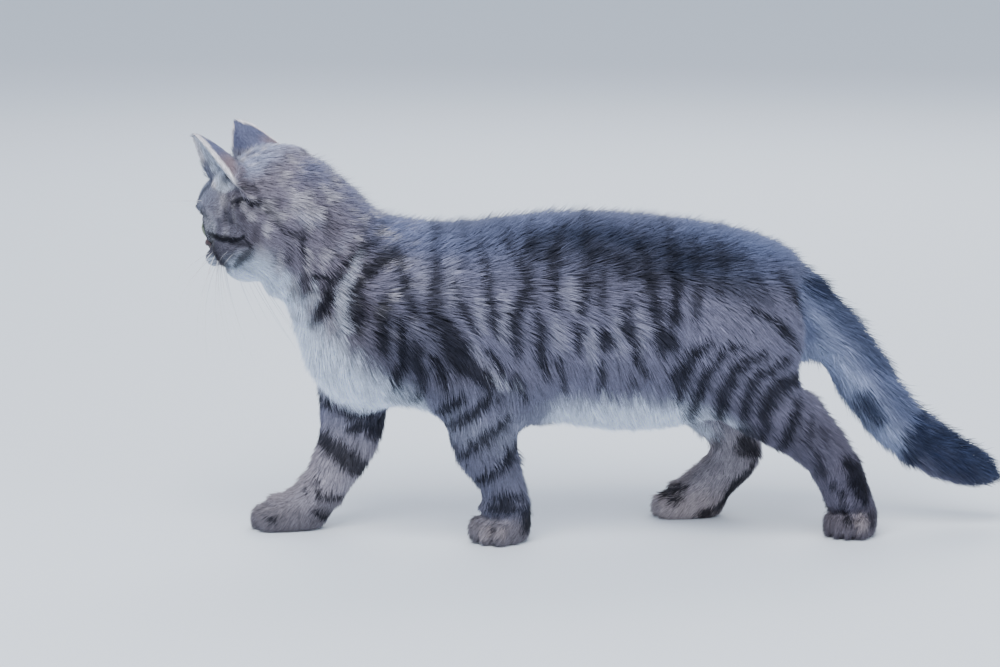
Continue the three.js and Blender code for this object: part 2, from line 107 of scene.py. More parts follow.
def mottle(points: Points, size: float, seed: int) -> Array:
    """Smooth random values that change over about `size` millimetres.

    Args:
        points: Places to value.
        size: Distance over which the values change.
        seed: Picks one of many patterns.

    Returns:
        One value for each point, from -1 to 1.
    """
    cells = points / size + 37.7 * seed
    low = np.floor(cells).astype(np.int64)
    share = cells - low
    share = share * share * (3 - 2 * share)
    total = np.zeros(len(points))
    for corner in range(8):
        step = np.array([corner & 1, corner >> 1 & 1, corner >> 2])
        cell = low + step
        code = cell[:, 0] * 73856093 ^ cell[:, 1] * 19349663 ^ cell[:, 2] * 83492791
        code = (code ^ code >> 13) * 1274126177 & 0x7FFFFFFF
        code = (code ^ code >> 15) * 668265263 & 0x7FFFFFFF
        value = (code >> 8 & 0xFFFF) / 32767.5 - 1
        total += value * np.prod(np.where(step, share, 1 - share), axis=1)
    return total


# ---- Forms: fields that are negative inside and about a distance outside ----


@dataclass(frozen=True)
class Axes:
    """A place and three directions: ahead, left and up."""

    origin: Array
    rows: Array

    def local(self, points: Points) -> Points:
        """Points given along these axes."""
        return (points - self.origin) @ self.rows.T

    def world(self, points: Points) -> Points:
        """Points along these axes, given in the whole cat's."""
        return self.origin + np.asarray(points, float) @ self.rows

    def turned(self, directions: Array) -> Array:
        """Directions along these axes, given in the whole cat's."""
        return np.asarray(directions, float) @ self.rows


def lump(centre: tuple, radii: tuple) -> Field:
    """The field of an ellipsoid."""

    def value(points: Points) -> Array:
        offset = points - np.asarray(centre, float)
        reach = np.maximum(np.linalg.norm(offset / np.asarray(radii, float), axis=1), 1e-6)
        return np.linalg.norm(offset, axis=1) * (1 - 1 / reach)

    return value


def pair(centre: tuple, radii: tuple) -> list[Field]:
    """The fields of two ellipsoids, one on each side."""
    ahead, side, up = centre
    return [lump((ahead, sign * side, up), radii) for sign in (1, -1)]


def soft_min(a: Array, b: Array, radius: float) -> Array:
    """The smaller of two values, rounded where they are near each other."""
    overlap = np.maximum(radius - np.abs(a - b), 0) / radius
    return np.minimum(a, b) - overlap * overlap * radius / 4


def joined(radius: float, *fields: Field) -> Field:
    """Fields that flow into each other."""

    def value(points: Points) -> Array:
        total = fields[0](points)
        for other in fields[1:]:
            total = soft_min(total, other(points), radius)
        return total

    return value


def hollowed(radius: float, form: Field, *hollows: Field) -> Field:
    """A field hollowed out by others, with soft rims."""

    def value(points: Points) -> Array:
        total = form(points)
        for hollow in hollows:
            total = -soft_min(-total, hollow(points), radius)
        return total

    return value


def settled(form: Field, points: Points, times: int = 4) -> Points:
    """Moves points onto the surface where a field is zero."""
    step = 0.25
    for _ in range(times):
        value = form(points)
        slope = np.stack(
            [(form(points + step * axis) - form(points - step * axis)) / (2 * step) for axis in np.eye(3)], 1
        )
        move = value / np.maximum(np.sum(slope * slope, axis=1), 0.15)
        points = points - slope * np.clip(move, -4, 4)[:, None]
    return points


# ---- Meshes as arrays ----


def gathered(items: bpy.types.bpy_prop_collection, name: str, width: int, kind: type = float) -> Array:
    """One setting of every item of a collection, in rows `width` long."""
    flat = np.empty(len(items) * width, kind)
    items.foreach_get(name, flat)
    return flat.reshape(-1, width)


class Net:
    """A mesh's corners, normals and edges, in millimetres, for shaping and smoothing."""

    def __init__(self, mesh: Mesh) -> None:
        """Reads a mesh."""
        self.points = gathered(mesh.vertices, "co", 3) / MM
        self.ends = gathered(mesh.edges, "vertices", 2, np.int64)
        self.degree = np.maximum(np.bincount(self.ends.ravel(), minlength=len(self.points)), 1)
        mesh.calc_loop_triangles()
        self.triangles = gathered(mesh.loop_triangles, "vertices", 3, np.int64)

    def normals(self) -> Array:
        """Outward directions at the corners."""
        a, b, c = (self.points[self.triangles[:, n]] for n in range(3))
        facing = np.cross(b - a, c - a)
        total = np.zeros_like(self.points)
        for n in range(3):
            for axis in range(3):
                total[:, axis] += np.bincount(self.triangles[:, n], facing[:, axis], len(total))
        return unit(total)

    def mean(self, values: Array) -> Array:
        """The mean of each corner's neighbours."""
        columns = values.reshape(len(values), -1)
        total = np.empty_like(columns)
        a, b = self.ends[:, 0], self.ends[:, 1]
        for n in range(columns.shape[1]):
            column = columns[:, n]
            total[:, n] = np.bincount(a, column[b], len(column)) + np.bincount(b, column[a], len(column))
        return (total / self.degree[:, None]).reshape(values.shape)

    def spread(self, values: Array, times: int, share: Array | float = 0.5) -> Array:
        """Evens values out over the mesh.

        Args:
            values: One value or row for each corner.
            times: How often each corner moves towards its neighbours' mean.
            share: How far it moves each time, for all corners or for each.

        Returns:
            The evened values.
        """
        if isinstance(share, Array) and values.ndim > 1:
            share = share[:, None]
        for _ in range(times):
            values = values + (self.mean(values) - values) * share
        return values

    def write(self, mesh: Mesh) -> None:
        """Puts the corners back into a mesh."""
        mesh.vertices.foreach_set("co", (self.points * MM).ravel())
        mesh.update()


def linked(name: str, data: bpy.types.ID) -> Object:
    """A new object in the scene."""
    made = bpy.data.objects.new(name, data)
    bpy.context.scene.collection.objects.link(made)
    return made


def mesh_object(name: str, mesh: Mesh) -> Object:
    """A new object that rides with the cat."""
    made = linked(name, mesh)
    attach(made, "root")
    return made


def shape_of(mesh: Mesh) -> BMesh:
    """A mesh opened for shaping."""
    shape = bmesh.new()
    shape.from_mesh(mesh)
    return shape


def written(shape: BMesh, mesh: Mesh) -> Mesh:
    """The mesh, after a finished shape is put into it and let go."""
    shape.to_mesh(mesh)
    shape.free()
    mesh.update()
    return mesh


def new_mesh(name: str, shape: BMesh) -> Mesh:
    """A new mesh from a finished shape."""
    return written(shape, bpy.data.meshes.new(name))


def spots_of(verts: Iterable[BMVert]) -> Points:
    """Where a shape's corners are, in its own units."""
    return np.array([vert.co[:] for vert in verts])


def set_spots(verts: Iterable[BMVert], spots: Points) -> None:
    """Moves a shape's corners to places in millimetres."""
    for vert, spot in zip(verts, spots * MM):
        vert.co = spot


def evaluated(holder: Object) -> Mesh:
    """A new mesh of what an object's modifiers make."""
    graph = bpy.context.evaluated_depsgraph_get()
    return bpy.data.meshes.new_from_object(holder.evaluated_get(graph))


def remeshed(source: Mesh, voxel: float) -> Mesh:
    """One closed skin round everything in a mesh, of even cells `voxel` millimetres wide."""
    holder = linked("holder", source)
    modifier = holder.modifiers.new("skin", "REMESH")
    modifier.mode = "VOXEL"
    modifier.voxel_size = voxel * MM
    made = evaluated(holder)
    bpy.data.objects.remove(holder)
    return made


def subdivided(mesh: Mesh, chosen: Array) -> None:
    """Halves the edges whose two ends are both chosen."""
    shape = shape_of(mesh)
    edges = [edge for edge in shape.edges if all(chosen[vert.index] for vert in edge.verts)]
    bmesh.ops.subdivide_edges(shape, edges=edges, cuts=1, use_grid_fill=True)
    written(shape, mesh)


# ---- What each part of the body is like ----


@dataclass(frozen=True)
class Zone:
    """The coat over one CAD node: how deep it is and how its tufts grow."""

    depth: float
    flow: tuple[float, float, float]
    length: float
    width: float = 0.55
    lift: float = 24.0
    crowding: float = 2.0
    evening: float = 0.5


ZONES: dict[str, Zone] = {
    "head": Zone(2.4, (1, 0, 0.1), 5.5, 0.36, 22, 3.4, 0.12),
    "ear_left": Zone(0.5, (-0.2, 0, 1), 2.4, 0.28, 14, 5.0, 0.0),
    "ear_right": Zone(0.5, (0, 0.1, 1), 2.4, 0.28, 14, 5.0, 0.0),
    "neck": Zone(5.0, (0.8, 0, -0.6), 6.4, 0.31, 36, 2.8),
    "chest": Zone(5.2, (1, 0, -0.32), 9.0, 0.37, 32, 2.1),
    "belly": Zone(5.4, (1, 0, -0.4), 10.0, 0.38, 32, 2.1),
    "rump": Zone(5.0, (1, 0, -0.3), 9.5, 0.38, 32, 2.1),
    "tail_base": Zone(6.0, (0.75, 0, -0.6), 13.0, 0.46, 32, 2.2, 0.4),
    "tail_middle": Zone(6.2, (0.62, 0, -0.78), 13.0, 0.46, 36, 2.4, 0.4),
    "tail_tip": Zone(5.0, (0.88, 0, -0.45), 12.0, 0.44, 36, 2.6, 0.3),
    "thigh_left": Zone(4.0, (0.55, 0, -0.8), 8.0, 0.40, 26, 2.3),
    "thigh_right": Zone(4.0, (0.45, 0, -0.85), 8.0, 0.40, 26, 2.3),
    "shank_left": Zone(3.0, (0.6, 0, -0.8), 7.5, 0.46, 22, 2.6, 0.35),
    "shank_right": Zone(3.0, (0.5, 0, -0.85), 7.5, 0.46, 22, 2.6, 0.35),
    "hindfoot_left": Zone(1.7, (0.1, -0.1, -1), 4.2, 0.36, 20, 3.4, 0.12),
    "hindfoot_right": Zone(1.7, (-0.7, 0, -0.7), 4.2, 0.36, 20, 3.4, 0.12),
    "foreleg_left": Zone(3.0, (0.2, 0, -1), 7.5, 0.46, 22, 2.6, 0.35),
    "foreleg_right": Zone(3.0, (-0.25, 0, -1), 7.0, 0.46, 22, 2.6, 0.35),
    "forepaw_left": Zone(1.4, (-0.5, -0.3, -0.8), 3.6, 0.34, 20, 3.8, 0.1),
    "forepaw_right": Zone(1.4, (-0.8, 0, -0.6), 3.6, 0.34, 20, 3.8, 0.1),
}
ZONE_NAMES = list(ZONES)
FLESH = [name for name in ZONES if not name.startswith("ear")]


class Anatomy:
    """Which zone a place belongs to, from the CAD node that is nearest."""

    def __init__(self) -> None:
        """Gathers every node's triangles into one search tree."""
        corners: list[Vector] = []
        faces: list[tuple[int, int, int]] = []
        self.owner: list[int] = []
        for number, name in enumerate(ZONE_NAMES):
            mesh = frame["nodes"][name].data
            start = len(corners)
            corners.extend(vert.co.copy() for vert in mesh.vertices)
            mesh.calc_loop_triangles()
            for face in mesh.loop_triangles:
                faces.append(tuple(start + corner for corner in face.vertices))
                self.owner.append(number)
        self.tree = BVHTree.FromPolygons(corners, faces)

    def zones(self, points: Points) -> Array:
        """The number of each point's zone."""
        find = self.tree.find_nearest
        return np.array([self.owner[find(point)[2]] for point in (points * MM).tolist()])

    def gaps(self, points: Points, normals: Array, reach: float = 14.0) -> Array:
        """Millimetres from each point, along its normal, to the outside of the CAD nodes.

        Args:
            points: Places on the skin.
            normals: Outward directions there.
            reach: Where the search starts, outside the body.

        Returns:
            A depth for each point; the whole reach where nothing is met.
        """
        rays = zip(((points + normals * reach) * MM).tolist(), (-normals).tolist())
        met = [self.tree.ray_cast(start, way, reach * MM)[3] for start, way in rays]
        return np.array([reach if length is None else reach - length / MM for length in met])


def in_zones(zones: Array, *starts: str) -> Array:
    """Which of the zones have names that begin with one of the given words."""
    return np.array([name.startswith(starts) for name in ZONE_NAMES])[zones]


def zone_values(zones: Array, name: str) -> Array:
    """One of the zones' settings for each point."""
    return np.array([getattr(zone, name) for zone in ZONES.values()], float)[zones]


# ---- The head ----


def centre_of(node: str) -> Array:
    """The middle of a CAD node's box, in millimetres."""
    low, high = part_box(node)
    return (np.array(low) + np.array(high)) / 2 / MM


@dataclass(frozen=True)
class Eye:
    """One eye's ball and the opening between its lids, about an axis that looks outwards."""

    axes: Axes
    side: int
    radius: float = 8.0
    half_width: float = 53.0
    half_height: float = 45.0
    slant: float = 12.0

    def polar(self, points: Points) -> tuple[Array, Array, Array]:
        """Distance from the ball's middle, degrees from its axis, and the turn about that axis.

        The turn is 0 towards the outer corner and a quarter turn towards the brow.
        """
        ahead, left, up = self.axes.local(points).T
        outward = left * self.side
        reach = np.sqrt(ahead**2 + outward**2 + up**2)
        away = np.degrees(np.arctan2(np.hypot(outward, up), ahead))
        return reach, away, np.arctan2(up, outward)

    def place(self, reach: Array, away: Array, turn: Array) -> Points:
        """Points from their distance, degrees from the axis and turn."""
        lean = np.radians(away)
        ring = reach * np.sin(lean)
        local = np.stack([reach * np.cos(lean), self.side * ring * np.cos(turn), ring * np.sin(turn)], 1)
        return self.axes.world(local)

    def oval(self, turn: Array) -> Array:
        """Degrees from the axis to an oval that the lids' edge follows."""
        lean = turn - math.radians(self.slant)
        return 1 / np.sqrt((np.cos(lean) / self.half_width) ** 2 + (np.sin(lean) / self.half_height) ** 2)

    def margin(self, turn: Array) -> Array:
        """Degrees from the axis to the lids' edge: the oval, drawn out to a point at each corner."""
        across = np.cos(turn - math.radians(self.slant))
        inner = np.maximum(-across, 0) ** 14 * 7
        outer = np.maximum(across, 0) ** 12 * 3
        return self.oval(turn) + inner + outer


class Head:
    """The head's axes, its form under the coat, and its eyes."""

    EYE = (16.4, 12.4, 2.4)
    LID = 0.8
    EYE_COAT = 1.0
    NOSE = (33.2, 0.0, -4.4)

    def __init__(self) -> None:
        """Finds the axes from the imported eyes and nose."""
        left_eye, right_eye, nose = (centre_of(name) for name in ("eye_left", "eye_right", "nose"))
        left = unit(left_eye - right_eye)
        middle = (left_eye + right_eye) / 2
        towards = nose - middle
        towards = unit(towards - left * (towards @ left))
        rise = math.atan2(self.NOSE[2] - self.EYE[2], self.NOSE[0] - self.EYE[0])
        square = np.cross(towards, left)
        ahead = math.cos(rise) * towards - math.sin(rise) * square
        up = np.cross(ahead, left)
        origin = middle - self.EYE[0] * ahead - self.EYE[2] * up
        self.axes = Axes(origin, np.array([ahead, left, up]))
        self.eyes = [self._eye(1), self._eye(-1)]
        self.form = self._form()

    def _eye(self, side: int) -> Eye:
        """One eye, looking a little outwards and upwards."""
        outward, upward = math.radians(15), math.radians(5)
        ahead = np.array([
            math.cos(outward) * math.cos(upward),
            side * math.sin(outward) * math.cos(upward),
            math.sin(upward),
        ])
        left = unit(np.cross((0, 0, 1), ahead))
        local = np.array([ahead, left, np.cross(ahead, left)])
        place = self.axes.world((self.EYE[0], side * self.EYE[1], self.EYE[2]))
        return Eye(Axes(place, local @ self.axes.rows), side)

    def _form(self) -> Field:
        """The whole head in its own axes, out to the coat."""
        pads = joined(1.6, *pair((26.8, 6.0, -11.0), (7.9, 6.7, 5.8)), lump((25, 0, -11.5), (7.2, 7, 6)))
        solid = joined(
            6.0,
            lump((-4, 0, 5), (28.5, 27.5, 25)),
            lump((-11, 0, -3), (21.5, 25, 19.5)),
            lump((12, 0, 11), (17, 19.5, 14.5)),
            *pair((3.5, 15.5, -9.5), (17.5, 14, 14)),
            lump((9, 0, -18.5), (19, 16.5, 11.5)),
            *pair((17, 11, 8.8), (9, 8.5, 6.5)),
            lump((21.5, 0, 0), (10.5, 6.6, 8.4)),
            lump((28.5, 0, -4.8), (6.4, 4.9, 4.8)),
        )
        muzzle = joined(2.6, solid, pads, lump((21.8, 0, -19.2), (8.2, 7.0, 5.0)))
        ball = self.eyes[0].radius + self.LID + self.EYE_COAT
        sockets = hollowed(5.0, muzzle, *pair((27.5, 15.5, 2.4), (7.5, 7.5, 7.5)))
        return joined(2.6, sockets, *pair(self.EYE, (ball, ball, ball)))

    def ears(self) -> list["Ear"]:
        """The left and right ears."""
        return [Ear(self, 1), Ear(self, -1)]

    def coat_depth(self, local: Points) -> Array:
        """How deep the coat is over the face, least on the muzzle and the bridge of the nose."""
        ahead, left, up = local.T
        cheek = ease(9, 20, np.abs(left)) * ease(20, 6, ahead)
        throat = ease(-16, -24, up) * ease(26, 14, ahead)
        depth = 1.0 + 1.3 * ease(24, 6, ahead) + 1.2 * cheek + 0.8 * throat
        to_eye = np.linalg.norm(np.stack([ahead, np.abs(left), up], 1) - self.EYE, axis=1)
        return self.EYE_COAT + (depth - self.EYE_COAT) * ease(10.5, 16, to_eye)

    def under_coat(self, local: Points) -> Array:
        """The field of the head's skin, under the coat."""
        return self.form(local) + self.coat_depth(local)

    def face_share(self, local: Points) -> Array:
        """How far a place belongs to the sculpted face: 1 in front, 0 at the crown and neck."""
        ahead, _, up = local.T
        low = ease(-6, -16, up)
        return ease(0, 1, (ahead + 12 * (1 - low)) / (9 + 10 * (1 - low))) * ease(-34, -26, up)

    def ear_share(self, local: Points) -> Array:
        """1 on the ears, where they stand clear of the head, and 0 elsewhere."""
        return ease(1.0, 3.5, self.under_coat(local)) * ease(10, 14, local[:, 2])

    def sculpted(self, points: Points) -> Points:
        """Points of the skin moved onto the sculpted face."""
        local = self.axes.local(points)
        share = self.face_share(local) * (1 - self.ear_share(local))
        near = share > 0
        chosen = local[near]
        under = settled(self.under_coat, chosen)
        moved = points.copy()
        moved[near] = self.axes.world(mix(chosen, under, share[near]))
        return moved

    @staticmethod
    def mouth(local: Points) -> Array:
        """1 along the line of the lips and 0 away from it."""
        ahead, left, up = local.T
        turn = np.degrees(np.arctan2(np.abs(left), ahead - 11))
        line = -16.3 + 1.9 * np.exp(-((turn / 9) ** 2)) + 3.0 * ease(34, 66, turn)
        on_lips = ease(70, 58, turn) * ease(6, 12, ahead)
        return on_lips * np.exp(-(((up - line) / 0.75) ** 2))

    def creased(self, points: Points, normals: Array) -> Points:
        """Presses the mouth's line and the cleft under the nose into the skin."""
        local = self.axes.local(points)
        ahead, left, up = local.T
        cleft = 0.4 * ease(-16.5, -14.5, up) * ease(-7, -9, up) * ease(20, 26, ahead)
        cleft = cleft * np.exp(-((left / 0.6) ** 2))
        return points - normals * (1.9 * self.mouth(local) + cleft)[:, None]

    def lidded(self, points: Points, chosen: Array | bool = True) -> Points:
        """Lays the chosen skin close round each ball towards the lids' edge, with a fold above."""
        moved = points.copy()
        for eye in self.eyes:
            reach, away, turn = eye.polar(points)
            beyond = away - eye.oval(turn)
            near = (beyond < 30) & (reach < eye.radius + 5) & chosen
            lid = eye.radius + self.LID
            drawn = lid + (np.maximum(reach, lid) - lid) * ease(4, 20, beyond)
            fold = 0.5 * np.exp(-(((beyond - 13) / 3) ** 2)) * ease(-0.1, 0.6, np.sin(turn))
            moved[near] = eye.place((drawn - fold)[near], away[near], turn[near])
        return moved

    def opened(self, mesh: Mesh) -> None:
        """Cuts the openings between the lids, each with a rounded edge that dips behind the ball."""
        for eye in self.eyes:
            self._cut(eye, mesh)
        net = Net(mesh)
        loose = np.zeros(len(net.points))
        for eye in self.eyes:
            reach, away, turn = eye.polar(net.points)
            beyond = away - eye.margin(turn)
            held = (np.abs(beyond) < 0.3) & (np.abs(reach - eye.radius - self.LID) < 0.05)
            loose = np.maximum(loose, ease(26, 16, beyond) * (reach < eye.radius + 5) * ~held)
        for _ in range(24):
            net.points = self.lidded(net.spread(net.points, 1, 0.6 * loose), loose > 0)
        net.write(mesh)
        for eye in self.eyes:
            self._turn_in(eye, mesh)

    def _cut(self, eye: Eye, mesh: Mesh) -> None:
        """Takes the skin off one eye, up to an even loop of corners along the lids' edge."""
        shape = shape_of(mesh)
        reach, away, turn = eye.polar(spots_of(shape.verts) / MM)
        inside = (away < eye.margin(turn) - 0.6) & (reach < eye.radius * 1.5)
        shape.verts.ensure_lookup_table()
        doomed = [shape.verts[n] for n in np.flatnonzero(inside)]
        while doomed:
            bmesh.ops.delete(shape, geom=doomed, context="VERTS")
            doomed = [vert for vert in shape.verts if sum(edge.is_boundary for edge in vert.link_edges) > 2]
        loop = self._loop(self._rim(eye, shape))
        turns = np.unwrap(eye.polar(spots_of(loop) / MM)[2])
        whole = math.tau * np.sign(turns[-1] - turns[0])
        for _ in range(60):
            before = np.append(turns[-1] - whole, turns[:-1])
            after = np.append(turns[1:], turns[0] + whole)
            turns = (before + after) / 4 + turns / 2
        set_spots(loop, eye.place(np.full(len(turns), eye.radius + self.LID), eye.margin(turns), turns))
        written(shape, mesh)

    @staticmethod
    def _rim(eye: Eye, shape: BMesh) -> list:
        """The open edges round one eye."""
        middle = Vector((eye.axes.origin * MM).tolist())
        near = 1.6 * eye.radius * MM
        rims = (edge for edge in shape.edges if edge.is_boundary)
        return [edge for edge in rims if (edge.verts[0].co - middle).length < near]

    @staticmethod
    def _loop(rim: list) -> list:
        """The corners of a closed loop of edges, in order."""
        loop = [rim[0].verts[0]]
        last, edge = None, rim[0]
        while edge is not None:
            loop.append(edge.other_vert(loop[-1]))
            last = edge
            nexts = [other for other in loop[-1].link_edges if other.is_boundary and other is not last]
            edge = nexts[0] if nexts and loop[-1] is not loop[0] else None
        return loop[:-1]

    def _turn_in(self, eye: Eye, mesh: Mesh) -> None:
        """Rounds the lids' edge and takes it in behind the ball, where it is closed."""
        shape = shape_of(mesh)
        rim = self._rim(eye, shape)
        for height, inwards in ((0.6, 2.2), (0.1, 2.8), (-1.6, -6.0)):
            made = bmesh.ops.extrude_edge_only(shape, edges=rim)["geom"]
            rim = [part for part in made if isinstance(part, BMEdge)]
            verts = list({vert for edge in rim for vert in edge.verts})
            turn = eye.polar(spots_of(verts) / MM)[2]
            reach = np.full(len(verts), eye.radius + height)
            set_spots(verts, eye.place(reach, eye.margin(turn) - inwards, turn))
        bmesh.ops.holes_fill(shape, edges=rim, sides=0)
        bmesh.ops.triangulate(shape, faces=[face for face in shape.faces if len(face.verts) > 4])
        written(shape, mesh)


# ---- The paws ----


@dataclass(frozen=True)
class Paw:
    """One paw's size and where it points, standing on the middle of its packed sole."""

    zone: str
    sole: str
    outwards: float
    side: int
    length: float
    width: float
    height: float = 17.5
    toes: int = 4

    def axes(self) -> Axes:
        """The paw's own axes, on the floor."""
        mount = next(mount for mount in frame["record"]["mounts"] if mount["name"] == self.sole)
        turn = math.radians(180 - self.side * self.outwards)
        ahead = np.array([math.cos(turn), math.sin(turn), 0])
        rows = np.array([ahead, [-ahead[1], ahead[0], 0], [0, 0, 1]])
        return Axes(np.array(mount["pos_m"]) / MM - ahead, rows)

    def form(self) -> Field:
        """Pad, ankle and toes in the paw's axes, out to the coat."""
        pad = lump(
            (-self.length * 0.08, 0, self.height * 0.42),
            (self.length * 0.4, self.width * 0.46, self.height * 0.54),
        )
        ankle = lump((-self.length * 0.06, 0, 14), (self.length * 0.34, self.width * 0.43, 13))
        toes = []
        for number in range(self.toes):
            spread = number - (self.toes - 1) / 2
            reach = self.length * (0.3 - 0.045 * spread * spread)
            across = spread * self.width * 0.235
            toes.append(lump((reach, across, 5.8), (self.length * 0.22, self.width * 0.155, 7)))
        return joined(3.5, pad, ankle, joined(1.2, *toes))

    def sculpted(self, points: Points, zones: Array) -> Points:
        """Points of the skin moved onto the paw's toes."""
        axes = self.axes()
        local = axes.local(points)
        reach = np.hypot(local[:, 0], local[:, 1])
        share = ease(0.02, 0.2, local[:, 0] / self.length) * ease(18, 13, local[:, 2])
        share = share * (reach < self.length) * in_zones(zones, self.zone)
        near = share > 0
        form = self.form()
        under = settled(lambda spots: form(spots) + 1.3, local[near])
        moved = points.copy()
        moved[near] = axes.world(mix(local[near], under, share[near]))
        return moved


PAWS = [
    Paw("forepaw_left", "sole_fore_left", 35, -1, 31, 25),
    Paw("forepaw_right", "sole_fore_right", 4, 1, 37, 25),
    Paw("hindfoot_left", "sole_hind_left", 58, -1, 30, 22.5),
    Paw("hindfoot_right", "sole_hind_right", 6, 1, 36, 23),
]


# ---- The ears ----


@dataclass(frozen=True)
class Ear:
    """One ear's cup, between its base and tip in the head's axes."""

    head: Head
    side: int
    base: tuple = (-0.5, 18.2, 11.5)
    tip: tuple = (7.0, 18.0, 45.0)
    facing_turn: float = 53.0
    half_width: float = 15.0
    foot_share: float = 0.64
    bow: float = 15.5
    columns: int = 36
    rows: int = 40

    def directions(self) -> tuple[Array, Array, Array, Array, float]:
        """The base, and the ear's up, facing and outward directions and height."""
        head = self.head.axes
        base = head.world((self.base[0], self.side * self.base[1], self.base[2]))
        up = head.world((self.tip[0], self.side * self.tip[1], self.tip[2])) - base
        height = float(np.linalg.norm(up))
        up = up / height
        turn = math.radians(self.facing_turn)
        facing = head.turned((math.cos(turn), self.side * math.sin(turn), 0))
        facing = unit(facing - up * (facing @ up))
        outward = np.cross(facing, up) * -self.side
        return base, up, facing, outward, height

    def surface(self, across: Array, along: Array) -> Points:
        """The middle of the ear's wall.

        Args:
            across: From -1 at the inner edge to 1 at the outer edge.
            along: From 0 at the base to 1 at the tip; less than 0 is sunk in the head.

        Returns:
            The points.
        """
        base, up, facing, outward, height = self.directions()
        free = np.clip(1 - along, 0, 1.2)
        half = self._half(across, along)
        turn = across * math.pi / 2
        bow = self.bow * free**0.8
        flare = 1.6 * np.clip(along, 0, 1) * (1 - np.clip(along, 0, 1)) * np.abs(across) ** 3
        pocket = 1.3 * np.exp(-(((across - 0.86) / 0.1) ** 2 + ((along - 0.2) / 0.12) ** 2))
        ridge = 0.8 * np.exp(-(((across + 0.35) / 0.12) ** 2)) * ease(0.75, 0.3, along)
        depth = flare * 2 + pocket + ridge - bow * np.cos(turn) ** 1.4
        return (
            base
            + up * (along * height)[:, None]
            + outward * (half * np.sin(turn))[:, None]
            + facing * depth[:, None]
        )

    def seen(self, points: Points, normals: Array) -> tuple[Array, Array, Array, Array]:
        """Where places lie on the ear.

        Args:
            points: Places on the skin or coat.
            normals: Outward directions there.

        Returns:
            How far up the ear each is, how far across (1 at the rims), how much it faces into the cup,
            and how far it stands before the rims.
        """
        base, up, facing, outward, height = self.directions()
        along = (points - base) @ up / height
        over = (points - base) @ outward
        across = over / self._half(over, np.minimum(along, 0.98))
        inwards = normals @ facing - 0.9 * np.clip(across, -1, 1) * (normals @ outward)
        return along, across, inwards, (points - base) @ facing

    def _half(self, across: Array, along: Array) -> Array:
        """Half the ear's width at each height; the inner side narrows towards the base."""
        foot = self.foot_share + (1 - self.foot_share) * np.clip(along / 0.4, 0, 1)
        foot = np.where(across > 0, 1.0, foot)
        return self.half_width * foot * np.clip(1 - along, 0, 1.2) ** 0.6 * (1 + 0.15 * along)

    def build(self, name: str) -> Mesh:
        """A closed cup, thin at its rim and thicker at its root."""
        shape = bmesh.new()
        bmesh.ops.create_grid(shape, x_segments=self.columns, y_segments=self.rows, size=1)
        flat = spots_of(shape.verts)
        across, along = flat[:, 0], flat[:, 1] * 0.585 + 0.41
        set_spots(shape.verts, self.surface(across, np.minimum(along, 0.995)))
        shape.normal_update()
        bmesh.ops.solidify(shape, geom=list(shape.faces), thickness=1.0 * MM)
        bmesh.ops.remove_doubles(shape, verts=shape.verts, dist=0.02 * MM)
        bmesh.ops.recalc_face_normals(shape, faces=shape.faces)
        return new_mesh(name, shape)


# ---- The skin ----


